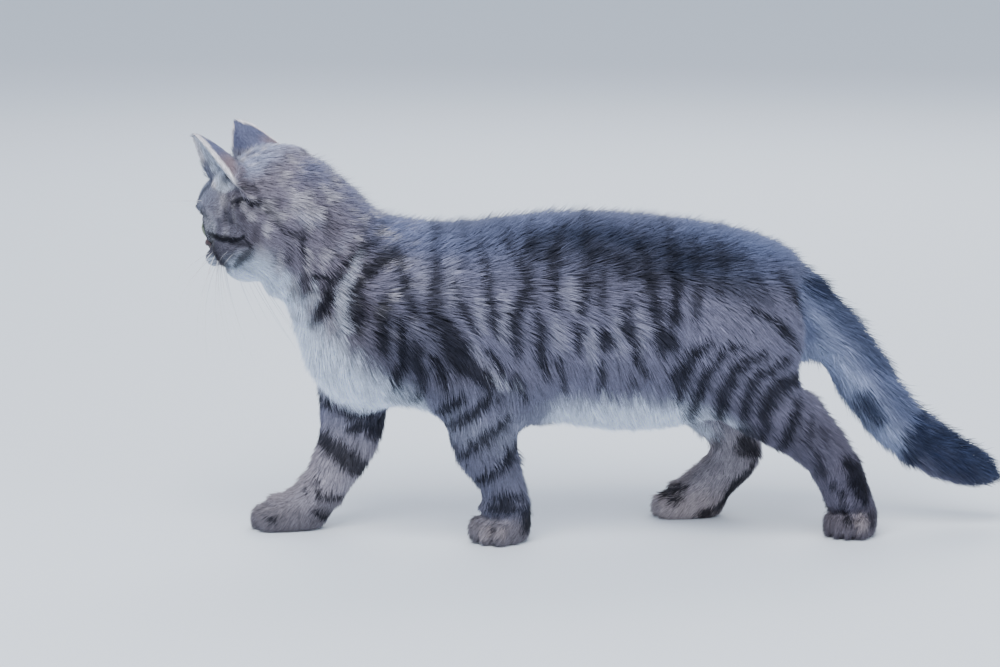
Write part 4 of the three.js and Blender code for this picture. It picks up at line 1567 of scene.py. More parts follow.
CHEEK = strokes(
    ((18, 2), (14, -1), (9, -3), (4, -5.5), (-1, -7), (-5, -5), 1.5, 0.95),
    ((3, -7), (-2, -8.5), (-5, -9), 2.2, 0.7),
    ((-5, -7), (-6.5, -9), (-5.5, -12), (-2, -14.5), (4, -16), (9, -16.5), 1.9, 0.8),
    ((3, -10), (6, -12), (10, -12), 2.0, 0.35),
    ((22, -3), (24, -7), (25, -11), 2.6, 0.5),
    ((19, -5), (19, -7), 1.5, 0.5),
    ((9, 6), (4, 3), (-3, 3), 1.7, 0.35),
    ((-12, 22), (-11, 17), (-10, 13), 2.0, 0.55),
    ((-2, 9), (-8, 9), (-13, 10), 1.7, 0.6),
    ((-15, 4), (-20, 3), 2.6, 0.5),
)
BROW = strokes(
    ((5.5, 7), (6.5, 13), (5.5, 21), 1.5, 0.75),
    ((2.2, 12), (1.8, 18), (2.4, 24), 1.1, 0.6),
    ((12, 12), (13.5, 17), (12, 22), 1.6, 0.65),
    ((3.0, -1), (3.4, 5), 1.0, 0.4),
)
# Pale strokes: bib, throat and belly, and the light between the stripes.
PALE = strokes(
    ((-152, 122), (-150, 106), (-142, 92), (-132, 82), (-118, 74), (-100, 66), 15.0, 1.0),
    ((-142, 118), (-136, 122), 3.0, 0.6),
    ((-96, 59), (-84, 59), (-70, 56), (-50, 55), (-20, 56), (2, 60), (24, 60), (38, 50), (56, 42), 9.0, 0.95),
    ((-117, 139), (-124, 127), (-126, 112), (-124, 98), 3.4, 0.5),
    ((-58, 84), (-52, 78), (-44, 70), 1.5, 0.75),
)
LIGHT = strokes(
    ((-21, 128), (-20, 121), (-18, 112), 2.8, 0.5),
    ((-146, 158), (-141, 153), 2.8, 0.8),
    ((-138, 158), (-136, 152), 2.6, 0.7),
    ((-134, 136), (-128, 141), (-122, 148), 2.2, 0.45),
    ((-28, 110), (-26, 94), 3.2, 0.6),
    ((-12, 106), (-11, 88), 2.8, 0.6),
    ((2, 110), (2, 90), 2.8, 0.5),
    ((-50, 120), (-51, 100), 3.0, 0.6),
    ((-64, 118), (-61, 104), 2.6, 0.55),
    ((-74, 136), (-77, 116), 3.0, 0.4),
    ((-90, 136), (-89, 122), 2.8, 0.3),
    ((12, 112), (13, 92), 2.2, 0.4),
    ((-68, 100), (-60, 88), (-52, 78), 2.6, 0.5),
)
TOES = strokes(
    ((-60, 7), (-60, 3), 3.6, 0.7),
    ((-53, 7), (-53, 4), 3.0, 0.7),
    ((116, 8), (120, 7), 3.8, 0.75),
)


class Markings:
    """Paints places on the body, with one set of tones for the skin and the coat."""

    def __init__(self, head: Head, tones: Tones = Tones()) -> None:
        """Keeps the head's axes and the tones."""
        self.head = head
        self.tones = tones

    def paint(self, points: Points, normals: Array, shares: dict[str, Array]) -> Array:
        """The colour of the coat's outer half at each place.

        Args:
            points: Places on the coat.
            normals: Outward directions there.
            shares: How far each place belongs to the head, the legs and so on, by name.

        Returns:
            One colour for each place.
        """
        tones = self.tones
        left = points[:, 1] < 0
        legs, head = shares["legs"], shares["head"]
        root = ease(-1.5, 3.5, self._behind_rump(points)) * ease(134, 112, points[:, 2])
        tail = np.maximum(shares["tail"], root * (1 - legs))
        shares = {**shares, "tail": tail}
        spread = {name: share > 0.5 for name, share in shares.items()}
        drift = np.stack([mottle(points, 8, 21), mottle(points, 8, 22)], 1)
        rough = np.stack([mottle(points, 1.9, 23), mottle(points, 1.9, 24)], 1)
        flat = points[:, [0, 2]] + 0.8 * drift + 1.2 * rough
        flat[~left] += 2.6 * drift[~left]
        front = head * ease(-6, 3, self.head.axes.local(points)[:, 0])
        trunk = ~((front > 0.5) | spread["tail"])
        dark, saddle, pale, arcs, light, toes = (np.zeros(len(points)) for _ in range(6))
        ragged = flat + np.stack([0 * drift[:, 0], 6.5 * mottle(points * (1, 1, 0.2), 2.4, 35)], 1)
        for stripes, spots, reached in (
            (TRUNK, flat, dark),
            (SADDLE, flat + 2.2 * rough, saddle),
            (PALE, ragged, pale),
            (LIGHT, flat, light),
        ):
            self._stroke(stripes, spots, trunk & ~spread["feet"], reached)
        hind = spread["hind"] | trunk
        sheared = flat.copy()
        sheared[:, 0] += 0.66 * np.clip(98 - flat[:, 1], 0, 98)
        self._stroke(THIGH, flat, hind & left, dark)
        self._stroke(THIGH, sheared, hind & ~left & ~spread["feet"], arcs)
        dark = np.maximum(dark, arcs)
        for stripes, where, reached in (
            (HINDFOOT_RIGHT, spread["hind"] & ~left, dark),
            (FORELEG_LEFT, (spread["fore"] | trunk) & left, dark),
            (FORELEG_RIGHT, spread["fore"] & ~left, dark),
            (TAIL, spread["tail"], dark),
            (TOES, spread["feet"] & left, toes),
        ):
            self._stroke(stripes, flat, where, reached)

        pale = pale * (1 - 0.85 * shares["fore"])
        broken = 0.76 + 0.24 * ease(-0.5, 0.5, mottle(points * (0.5, 1, 1), 3.0, 25))
        # Painted highlight: fur that faces up on the body is lightened towards sky blue, and the dark stripes
        # there are weakened.
        sky_lit_top = ease(0.35, 0.95, normals[:, 2]) * ((1 - legs) * (1 - head) * (1 - tail))
        colour = layered(
            self._ground(points, normals, shares),
            (tones.pale, pale * (1 - 0.3 * legs)),
            (tones.saddle, saddle * broken),
            (tones.light, light * (1 - saddle)),
            (tones.sky_lit_top, 0.58 * sky_lit_top * (1 - 0.7 * saddle)),
        )
        colour = self._nape(self._face(colour, points, head), points, head)
        shade = np.minimum((1.35 + 0.5 * shares["fore"]) * dark, 1)
        shade = shade * (1 - 0.35 * sky_lit_top) * (1 - 0.5 * pale * trunk)
        bluish = mix(filled(tones.ink, len(points)), tones.tail_ink, tail)
        colour = layered(
            colour,
            (bluish, shade * (0.88 + 0.12 * mottle(points, 2.4, 26))),
            (tones.cream, toes * 0.8),
        )
        return self._ears(colour, points, normals, shares["ears"])

    @staticmethod
    def _behind_rump(points: Points) -> Array:
        """How far places lie behind the slanting line where the tail leaves the rump."""
        return points[:, 0] - 86 - 0.53 * (118 - points[:, 2])

    def _stroke(self, stripes: tuple[Stripe, ...], flat: Array, where: Array, reached: Array) -> None:
        """Lays a set of strokes over the places that are chosen."""
        part = reached[where]
        for stripe in stripes:
            stripe.shade(flat[where], part)
        reached[where] = part

    def _ground(self, points: Points, normals: Array, shares: dict[str, Array]) -> Array:
        """The colour between the stripes, with painted shade over the shoulder and on the far forepaw."""
        tones = self.tones
        x, _, z = points.T
        left = points[:, 1] < 0
        legs, tail, feet = shares["legs"], shares["tail"], shares["feet"]
        fore, far_fore = shares["fore"] * left, shares["fore"] * ~left
        hind, far_hind = shares["hind"] * left, shares["hind"] * ~left
        shaded = ease(-66, -82, x) * ease(-136, -118, x) * ease(132, 112, z)
        under = ease(-0.35, -0.9, normals[:, 2]) * (1 - legs) * (1 - tail)
        inner = ease(0.1, 0.8, normals[:, 1] * np.where(left, 1, -1)) * legs
        off = self._behind_rump(points)
        root = ease(-1, 2, off) * ease(18, 6, off) * ease(124, 108, z) * ease(60, 72, z)
        root = 0.6 * root * ease(0.45, 0.1, normals[:, 2]) * ease(0.35, 0.75, np.abs(normals[:, 1]))
        facing = normals[:, 2] + 0.5 * normals[:, 0] + 0.35 * mottle(points * (0.4, 1, 0.4), 3, 36)
        below = np.maximum(ease(0.55, -0.75, facing), root) * tail
        colour = filled(tones.silver, len(points))
        colour = mix(colour, tones.lilac, 0.75 * ease(-96, -128, x) * (1 - legs))
        colour = colour * (1 - 0.32 * shaded * (1 - legs))[:, None]
        colour = colour * (1 - 0.32 * ease(30, 44, x) * ease(112, 126, z) * (1 - tail))[:, None]
        colour = layered(
            colour,
            (tones.slate, 0.30 * ease(112, 136, z) * ease(-90, -40, x)),
            (tones.pale, under),
            (tones.foreleg, fore * 0.6),
            (tones.cream, far_fore * ease(56, 34, z) * 0.7),
            (tones.feet, feet * ease(16, 8, z) * 0.85),
            # Painted shade darkens the lower far forepaw.
            (tones.far_foot_shade, far_fore * feet * ease(24, 14, z) * 0.45),
            (tones.cream, far_hind * ease(60, 36, z) * 0.9),
            (tones.brown, hind * ease(84, 50, z) * 0.6),
            (tones.inner_leg, 0.35 * inner * ease(8, 20, z)),
            (tones.tail_below, 0.8 * below * ease(156, 140, x)),
            (tones.tail_above, 0.75 * tail * (1 - below)),
        )
        return colour * (1 + 0.10 * mottle(points, 12, 27))[:, None]

    def _nape(self, colour: Array, points: Points, share: Array) -> Array:
        """Dark and light flecks over the back of the head, the neck and the shoulder."""
        tones = self.tones
        x, _, z = points.T
        ahead, _, up = self.head.axes.local(points).T
        crown = share * ease(14, 23, up) * ease(6, -4, ahead) * ease(-32, -16, ahead)
        cheek = ease(-10, -6, ahead) * ease(0, -4, up)
        nape = ease(-80, -110, x) * ease(92, 118, z)
        nape = nape * (1 - share * np.maximum(ease(2, 12, ahead), cheek))
        nape = nape * np.where(points[:, 1] < 4, 1, 0.6)
        drawn_out = points * (1.0, 1.0, 0.55)
        return layered(
            colour,
            (tones.crown, 0.7 * crown),
            (tones.streak, 0.6 * nape * ease(0.0, 0.7, mottle(drawn_out, 2.8, 33))),
            (tones.fleck, 0.62 * nape * ease(0.05, 0.7, mottle(drawn_out, 3.3, 34))),
        )

    def _ears(self, colour: Array, points: Points, normals: Array, share: Array) -> Array:
        """Bluish backs, pale rims, and bowls with a pale fringe in front and painted shade in the hollow."""
        tones = self.tones
        local = self.head.axes.local(points)
        for ear in self.head.ears():
            along, across, faced, beyond = ear.seen(points, normals)
            bowl = np.linalg.norm(local - (1, ear.side * 17, 24), axis=1) < 13
            here = (local[:, 1] * ear.side > 0) & ((share > 0.02) | bowl)
            along, across, faced, beyond = along[here], across[here], faced[here], beyond[here]
            worn = np.clip(share[here] * 1.3, 0, 1)
            rim = ease(-2.0, -0.6, beyond) * (np.abs(across) > 0.6)
            back = layered(
                filled(tones.ear_back, len(along)),
                (tones.ear_worn, 0.9 * ease(0.2, 0.8, across) * ease(0.72, 0.45, along)),
                (tones.ear_rim, rim),
            )
            # Painted shade: the deep hollow of the ear's bowl.
            deep = ease(1.1, 0.4, np.hypot((along - 0.32) / 0.13, (across - 0.15) / 0.6))
            inner = layered(
                filled(tones.ear_lining, len(along)),
                (tones.ear_flesh, ease(0.1, 0.6, across) * ease(0.85, 0.6, along) * 0.6),
                (tones.ear_hollow, 0.9 * deep),
                (tones.ear_fringe, np.maximum(rim, 0.5 * ease(0.86, 0.96, along))),
            )
            within = ease(0.0, 0.3, faced) * (along > 0.12) * (np.abs(across) < 1.1) * ease(3, 1, beyond)
            part = mix(colour[here], back, worn)
            colour = colour.copy()
            colour[here] = mix(part, inner, within * np.maximum(worn, bowl[here] * (np.abs(across) < 0.9)))
        return colour

    def _face(self, colour: Array, points: Points, share: Array) -> Array:
        """The head's own ground and marks."""
        tones = self.tones
        chosen = share > 0.02
        local = self.head.axes.local(points[chosen])
        ahead, side, up = local.T
        wide = np.abs(side)
        bridge = ease(6.5, 3.0, wide) * ease(16, 26, ahead) * ease(12, 4, up)
        chin = np.maximum(ease(-13.5, -17.5, up), ease(-9, -16, up) * ease(16, 8, ahead) * 0.75)
        chin = np.maximum(chin, ease(-8.5, -11, up) * ease(19, 24, ahead) * 0.8)
        pad = ease(1.35, 0.7, np.linalg.norm((local * (1, 0, 1) - (22, 0, -15)) / (6, 1, 4), axis=1))
        lids = np.linalg.norm(np.stack([ahead, wide, up], 1) - self.head.EYE, axis=1)
        ground = layered(
            filled(tones.face, len(local)),
            (tones.lilac, 0.7 * ease(6, -14, ahead)),
            (tones.forehead, 0.7 * ease(6, 22, up) * ease(0, 20, ahead)),
            (tones.brown, 0.55 * bridge),
            (tones.pale, chin * ease(-16, -2, ahead)),
            (tones.cream, 0.7 * pad * ease(4, 7, wide)),
            (tones.lids, 0.45 * ease(13.5, 10.5, lids)),
        )
        flat = np.stack([ahead, up], 1) + 0.6 * np.stack([mottle(local, 1.5, 28), mottle(local, 1.5, 29)], 1)
        dark = np.zeros(len(local))
        self._stroke(CHEEK, flat, wide > 8, dark)
        top = np.stack([wide, up], 1) + 0.3 * np.stack([mottle(local, 1.6, 30), mottle(local, 1.6, 31)], 1)
        self._stroke(BROW, top, ahead > 6, dark)
        freckles = ease(0.25, 0.7, mottle(local, 2.0, 32)) * 0.22 * (1 - chin)
        ground = mix(ground, tones.ink, np.maximum(dark, freckles))
        for eye in self.head.eyes:
            reach, away, turn = eye.polar(points[chosen])
            edge = ease(8.5, 4.5, away - eye.margin(turn)) * (reach < eye.radius + 2)
            ground = mix(ground, tones.ink, 0.9 * edge)
        cleft = ease(0.9, 0.3, wide) * ease(-17, -15, up) * ease(-6, -8, up) * ease(22, 26, ahead)
        rows = np.abs((up + 9.2) % 1.75 - 0.9) < 0.32
        spots = rows & (wide > 8) & (ahead > 15) & (up < -8) & (up > -15.5)
        ground = layered(
            ground,
            (tones.ink, 0.8 * ease(0.12, 0.5, self.head.mouth(local))),
            (tones.slate, 0.8 * cleft),
            (tones.slate, 0.4 * spots),
        )
        colour = colour.copy()
        colour[chosen] = mix(colour[chosen], ground, share[chosen])
        return colour


# ---- The coat ----


@dataclass
class Roots:
    """Where tufts grow, with the skin's settings there."""

    points: Points
    normals: Array
    flow: Array
    zones: Array
    depth: Array
    length: Array
    width: Array
    lift: Array
    corners: Array
    weights: Array
    shares: dict[str, Array]


class Groom:
    """How the coat grows all over the skin: its lie, length, depth and crowding at each corner."""

    PARTS: dict[str, tuple[str, ...]] = {
        "head": ("head", "ear"),
        "tail": ("tail",),
        "fore": ("foreleg", "forepaw"),
        "hind": ("thigh", "shank", "hindfoot"),
        "legs": ("foreleg", "forepaw", "shank", "hindfoot"),
        "feet": ("forepaw", "hindfoot"),
        "ears": ("ear",),
    }

    def __init__(self, skin: Object, anatomy: Anatomy, head: Head) -> None:
        """Works the settings out for every corner of the skin."""
        self.net = Net(skin.data)
        self.head = head
        self.zones = anatomy.zones(self.net.points)
        self.normals = self.net.normals()
        smooth = unit(self.net.spread(self.normals, 4))
        self.local = head.axes.local(self.net.points)
        on_head = in_zones(self.zones, "head").astype(float)
        ears = in_zones(self.zones, "ear")
        evened = np.where(ears, 0.0, 0.5)
        self.settings = {
            name: self.net.spread(zone_values(self.zones, name), 26, evened)
            for name in ("depth", "length", "width", "lift", "crowding")
        }
        self.shares = {
            name: self.net.spread(in_zones(self.zones, *parts).astype(float), 8)
            for name, parts in self.PARTS.items()
        }
        away = anatomy.gaps(self.net.points, smooth)
        away = np.clip(away, 0.6, self.settings["depth"] * 1.35)
        measured = np.where(self.shares["feet"] + self.shares["ears"] > 0.3, self.settings["depth"], away)
        self.settings["depth"] = self.net.spread(measured, 8, evened)
        flow = self.net.spread(self._flow(), 40, evened)
        self.flow = on_surface(flow, smooth)
        self._groom_face(np.where(ears, 0.0, self.net.spread(on_head, 16)))
        self._groom_ears(ears)
        self._bare()

    def _draw(self, name: str, value: Array | float, share: Array) -> None:
        """Moves a setting towards a value by a share for each corner."""
        self.settings[name] = self.settings[name] + (value - self.settings[name]) * share

    def _flow(self) -> Array:
        """The lie of the coat before it is evened out."""
        flow = np.array([zone.flow for zone in ZONES.values()], float)[self.zones]
        x, _, z = self.net.points.T
        trunk = in_zones(self.zones, "chest", "belly", "rump")
        drop = ease(146, 74, z + 0.25 * np.clip(-x - 60, 0, 60)) + 0.35 * ease(-100, -136, x)
        drop = np.minimum(drop, 1)
        hanging = np.stack([1 - 0.68 * drop, 0 * x, 0.12 - 1.07 * drop], 1)
        flow[trunk] = hanging[trunk]
        for paw in PAWS:
            axes = paw.axes()
            here = in_zones(self.zones, paw.zone)
            up = np.clip(self.net.points[here, 2] / 22, 0, 1)[:, None]
            flow[here] = axes.rows[0] * (1 - 0.6 * up) + np.array((0, 0, -0.75))
        return unit(flow)

    def _groom_face(self, share: Array) -> None:
        """Short hair that runs back from the nose, longer towards the cheeks and neck."""
        ahead, left, up = self.local.T
        side = np.abs(left)
        away = self.local - (38.0, 0.0, -6.5)
        away[:, 0] -= 6.0
        away[:, 1] *= 1.25
        away[:, 2] += np.where(up > -6, 4.0, -3.0)
        temple = ease(9, 19, side) * ease(22, 12, ahead)
        away[:, 2] *= 1 - np.where(up > -6, 0.85, 0.3) * temple
        back = self.head.axes.turned(unit(away))
        towards_neck = ease(16, -22, ahead)[:, None]
        back = back * (1 - towards_neck) + np.array((0.92, 0.0, -0.40)) * towards_neck
        self.flow = on_surface(mix(self.flow, unit(back), share), self.normals)
        length = 1.5 + 2.0 * ease(27, 8, ahead) + 0.8 * ease(8, -12, ahead)
        length = length + 1.6 * ease(-12, -30, ahead)
        length = length + 2.2 * ease(14, 23, side) * ease(14, 2, ahead) * ease(-2, -10, up)
        length = length + 2.0 * ease(-18, -25, up) * ease(24, 12, ahead)
        length = length - 0.6 * ease(24, 30, ahead)
        width = 0.2 + 0.09 * ease(26, 4, ahead) + 0.08 * ease(4, -26, ahead)
        crowd = 7.5 - 2.2 * ease(26, 6, ahead) - 2.0 * ease(6, -26, ahead)
        face = self.head.face_share(self.local)
        depth = self.settings["depth"] * (1 - face) + self.head.coat_depth(self.local) * face
        depth = depth * (1 - 0.4 * ease(14, 22, up) * ease(2, -10, ahead))
        depth = np.minimum(depth, 0.55 * length + 1.2)
        for name, value in (("length", length), ("width", width), ("crowding", crowd), ("depth", depth)):
            self._draw(name, value, share)
        ridge = ease(0.35, 0.9, self.normals[:, 2]) * (1 - self.shares["legs"])
        ridge = ridge * (1 - ease(-8, 0, ahead) * share)
        self.settings["lift"] = self.settings["lift"] * (1 - 0.25 * share) + 12 * ridge
        self.settings["length"] = self.settings["length"] + 1.5 * ridge

    def _groom_ears(self, ears: Array) -> None:
        """Very short hair up the backs of the ears, and a longer fringe in front inside."""
        for ear in self.head.ears():
            mine = ears & (self.local[:, 1] * ear.side > 0)
            near = mine | (np.linalg.norm(self.local - (1, ear.side * 17, 24), axis=1) < 13)
            along, across, faced, beyond = ear.seen(self.net.points, self.normals)
            _, up, _, outward, _ = ear.directions()
            inside = near & (faced > 0.1) & (along > 0.1) & (np.abs(across) < 1.05) & (beyond < 1.5)
            behind = mine & ~inside
            self.flow[behind] = on_surface(np.tile(up, (int(behind.sum()), 1)), self.normals[behind])
            lean = ease(0.3, -0.6, across[inside])[:, None]
            fringe = up + outward * (0.8 * lean - 0.25)
            self.flow[inside] = on_surface(fringe, self.normals[inside])
            front = inside * ease(0.1, -0.8, across) * ease(0.9, 0.6, along)
            for name, value, share in (
                ("length", 5.5, front), ("lift", 38.0, front), ("depth", 2.4, front),
                ("crowding", 3.2, inside * 1.0), ("width", 0.24, inside * 1.0),
            ):
                self._draw(name, value, share)

    def _bare(self) -> None:
        """Keeps the lids' edges, the nose, the mouth's line and the soles bare."""
        crowd = self.settings["crowding"]
        for eye in self.head.eyes:
            reach, away, turn = eye.polar(self.net.points)
            inside = (away < eye.margin(turn) + 2.0) & (reach < eye.radius + 1.6)
            crowd[inside] = 0
        to_nose = np.linalg.norm((self.local - (33.0, 0, -4.6)) / (4.5, 4.5, 4.1), axis=1)
        crowd[to_nose < 1.0] = 0
        crowd *= ease(0.7, 0.25, self.head.mouth(self.local))
        sole = (self.net.points[:, 2] < 1.2) & (self.normals[:, 2] < -0.35)
        crowd[sole] = 0

    def roots(self, budget: int) -> Roots:
        """Spreads roots over the skin.

        Args:
            budget: How many tufts to make in all.

        Returns:
            The roots, with the skin's settings at each.
        """
        rng = np.random.default_rng(SEED)
        faces = self.net.triangles
        a, b, c = (self.net.points[faces[:, n]] for n in range(3))
        area = np.linalg.norm(np.cross(b - a, c - a), axis=1) / 2
        wanted = area * self.settings["crowding"][faces].mean(axis=1)
        wanted *= budget / wanted.sum()
        counts = np.floor(wanted + rng.random(len(faces))).astype(int)
        owner = np.repeat(np.arange(len(faces)), counts)
        u, v = rng.random(len(owner)), rng.random(len(owner))
        over = u + v > 1
        u[over], v[over] = 1 - u[over], 1 - v[over]
        weights = np.stack([1 - u - v, u, v], 1)
        corners = faces[owner]

        def at(values: Array) -> Array:
            """Values at the roots, from those at the skin's corners."""
            return np.einsum("ij,ij...->i...", weights, values[corners])

        settings = {name: at(value) for name, value in self.settings.items()}
        return Roots(
            at(self.net.points),
            unit(at(self.normals)),
            unit(at(self.flow)),
            self.zones[corners[:, 0]],
            settings["depth"],
            settings["length"],
            settings["width"],
            settings["lift"],
            corners,
            weights,
            {name: at(value) for name, value in self.shares.items()},
        )


class Coat:
    """Solid tufts all over the skin, in pieces by part of the body."""

    PIECES: dict[str, tuple[str, ...]] = {
        "coat_head": ("head", "ear"),
        "coat_neck": ("neck",),
        "coat_chest": ("chest",),
        "coat_belly": ("belly",),
        "coat_rump": ("rump", "tail_base"),
        "coat_tail": ("tail_middle", "tail_tip"),
        "coat_forelegs": ("foreleg", "forepaw"),
        "coat_thighs": ("thigh", "shank", "hindfoot"),
    }
    LIMIT = 199_000
    BUDGET = 246_000
    PATCH = 0.003
    SOFTNESS = 0.8

    def __init__(self, skin: Object, groom: Groom, markings: Markings) -> None:
        """Keeps what the coat grows on and is coloured by."""
        self.skin = skin
        self.groom = groom
        self.markings = markings
        self.template, self.faces = self._template()

    @staticmethod
    def _template() -> tuple[Array, Array]:
        """One tuft: a slim three-sided bud, pointed at its root and tip, along X."""
        shape = bmesh.new()
        bmesh.ops.create_cone(shape, cap_ends=True, segments=3, radius1=0.5, radius2=0, depth=0.66)
        bmesh.ops.remove_doubles(shape, verts=shape.verts, dist=0.001)
        base = [face for face in shape.faces if face.normal.z < -0.9]
        poked = bmesh.ops.poke(shape, faces=base)["verts"][0]
        poked.co.z = -0.67
        bmesh.ops.translate(shape, verts=shape.verts, vec=(0, 0, 0.67))
        bmesh.ops.triangulate(shape, faces=shape.faces)
        bmesh.ops.recalc_face_normals(shape, faces=shape.faces)
        shape.verts.index_update()
        corners = spots_of(shape.verts)
        faces = np.array([[vert.index for vert in face.verts] for face in shape.faces])
        shape.free()
        return corners[:, [2, 0, 1]], faces

    def build(self) -> list[Object]:
        """Makes every piece of the coat."""
        roots = self.groom.roots(self.BUDGET)
        corners, colours = self._grow(roots)
        material = Fur("fur", 0.62, 900.0, 0.0).material()
        made = []
        for name, zones in self.PIECES.items():
            members = np.flatnonzero(in_zones(roots.zones, *zones))
            members = members[np.argsort(roots.points[members, 0], kind="stable")]
            parts = math.ceil(len(members) * len(self.faces) / self.LIMIT)
            for number, part in enumerate(np.array_split(members, parts)):
                label = f"{name}_{number + 1}" if parts > 1 else name
                piece = self._piece(label, corners[part], colours[part], self._unwrap(roots, part))
                self._soften(piece.data, roots.normals[part])
                piece.data.materials.append(material)
                log.info("%s: %d tufts", label, len(part))
                made.append(piece)
        return made

    def _grow(self, roots: Roots) -> tuple[Array, Array]:
        """Places and colours every tuft's corners."""
        rng = np.random.default_rng(SEED + 1)
        count = len(roots.points)
        points, normals = roots.points, roots.normals
        side = np.cross(normals, roots.flow)
        swirl = 0.20 * mottle(points, 9, 3) + 0.20 * mottle(points, 4.5, 13) + 0.18 * mottle(points, 2.4, 4)
        swirl += rng.normal(0, 0.12, count)
        flow = unit(roots.flow + side * swirl[:, None])
        side = np.cross(normals, flow)
        wild = rng.random(count) ** 6
        length = roots.length * (1 + 0.18 * mottle(points, 5, 5) + rng.normal(0, 0.13, count) + 0.35 * wild)
        length = np.maximum(length, 0.6)
        lifted = 1 + 0.25 * mottle(points, 4, 6) + rng.normal(0, 0.12, count) + 0.6 * wild
        rise = np.radians(roots.lift) * lifted
        stray = 0.4 + 0.8 * ease(0.2, 0.8, normals[:, 2])
        height = roots.depth * (rng.uniform(0.55, 1.02, count) + 0.12 * mottle(points, 3.2, 7) + stray * wild)
        droop = np.clip(np.sin(rise) - height / length, -0.2, 0.8)
        along = self.template[:, 0]
        reach = np.outer(length, along)
        curve = np.outer(length * droop, along**2)
        up = reach * np.sin(rise)[:, None] - curve
        out = reach * np.cos(rise)[:, None]
        width = roots.width * rng.uniform(0.75, 1.25, count)
        across = np.outer(width, self.template[:, 1])
        thick = np.outer(width, self.template[:, 2]) * 0.8
        corners = (
            (points - normals * 0.15)[:, None, :]
            + flow[:, None, :] * out[..., None]
            + normals[:, None, :] * (up + thick)[..., None]
            + side[:, None, :] * across[..., None]
        )
        corners = self._clumped(corners, points, roots)
        corners[..., 2] = np.maximum(corners[..., 2], 0.15)
        return corners, self._coloured(roots, rng)

    def _clumped(self, corners: Array, points: Points, roots: Roots) -> Array:
        """Draws the tips of neighbouring tufts together into locks."""
        size = np.clip(roots.length * 0.34, 0.8, 4.2)
        wander = np.stack([mottle(points, 3.0, seed) for seed in (8, 9, 10)], 1)
        cell = np.floor((points + wander * 1.2) / size[:, None].round(1)).astype(np.int64)
        code = cell[:, 0] * 73856093 ^ cell[:, 1] * 19349663 ^ cell[:, 2] * 83492791
        _, group = np.unique(code, return_inverse=True)
        tip = int(np.argmax(self.template[:, 0]))
        total = np.bincount(group)
        middle = np.stack([np.bincount(group, corners[:, tip, axis]) / total for axis in range(3)], 1)[group]
        pull = (middle - corners[:, tip]) * 0.30
        pull *= np.clip(roots.length * 0.45 / np.maximum(np.linalg.norm(pull, axis=1), 1e-6), 0, 1)[:, None]
        return corners + pull[:, None, :] * (self.template[:, 0] ** 2)[None, :, None]

    def _coloured(self, roots: Roots, rng: np.random.Generator) -> Array:
        """Each corner's colour: darker at the root, with every tuft a little different."""
        seen = roots.points + roots.flow * (0.6 * roots.length)[:, None]
        seen += rng.normal(0, 0.8, seen.shape) * (1 - roots.shares["head"])[:, None]
        base = self.markings.paint(seen, roots.normals, roots.shares)
        shade = rng.normal(0, 0.17, len(base)) * (1 - 0.2 * roots.shares["head"])
        grain = mottle(roots.points * (1, 1, 0.3), 1.7, 36) * (1 - roots.shares["head"])
        low = 0.16 + 0.14 * ease(100, 80, roots.points[:, 2]) * (1 - roots.shares["legs"])
        shade = np.exp(shade + 0.10 * mottle(roots.points, 1.6, 12) + low * grain)
        base = base * shade[:, None]
        along = self.template[:, 0]
        level = 0.70 + 0.34 * ease(0.0, 0.4, along) + 0.10 * along
        return base[:, None, :] * level[None, :, None]

    def _unwrap(self, roots: Roots, members: Array) -> Array:
        """Where each tuft's root lies on an unwrap of the skin under its piece."""
        used = np.unique(roots.corners[members])
        faces = self.groom.net.triangles
        inside = np.isin(faces, used).all(axis=1)
        kept = faces[inside]
        order = np.unique(kept)
        renumber = np.full(len(self.groom.net.points), -1)
        renumber[order] = np.arange(len(order))
        mesh = bpy.data.meshes.new("unwrap")
        mesh.from_pydata((self.groom.net.points[order] * MM).tolist(), [], renumber[kept].tolist())
        holder = linked("unwrap", mesh)
        bpy.ops.object.select_all(action="DESELECT")
        holder.select_set(True)
        bpy.context.view_layer.objects.active = holder
        bpy.ops.object.mode_set(mode="EDIT")
        bpy.ops.mesh.select_all(action="SELECT")
        bpy.ops.uv.smart_project(angle_limit=math.radians(66), island_margin=0.004)
        bpy.ops.object.mode_set(mode="OBJECT")
        flat = gathered(mesh.uv_layers.active.data, "uv", 2).reshape(-1, 3, 2)
        place = {tuple(sorted(face)): number for number, face in enumerate(kept.tolist())}
        corner_places = np.zeros((len(members), 2))
        for row, member in enumerate(members):
            corners = roots.corners[member]
            number = place.get(tuple(sorted(corners.tolist())))
            if number is None:
                continue
            order_here = kept[number].tolist()
            for corner, weight in zip(corners.tolist(), roots.weights[member]):
                corner_places[row] += weight * flat[number, order_here.index(corner)]
        bpy.data.objects.remove(holder)
        return corner_places

    def _soften(self, mesh: Mesh, normals: Array) -> None:
        """Shades tufts mostly like the body under them, as light that passes through fur does."""
        own = gathered(mesh.vertices, "normal", 3).reshape(len(normals), -1, 3)
        soft = unit(own * (1 - self.SOFTNESS) + normals[:, None, :] * self.SOFTNESS)
        mesh.normals_split_custom_set_from_vertices(soft.reshape(-1, 3).tolist())

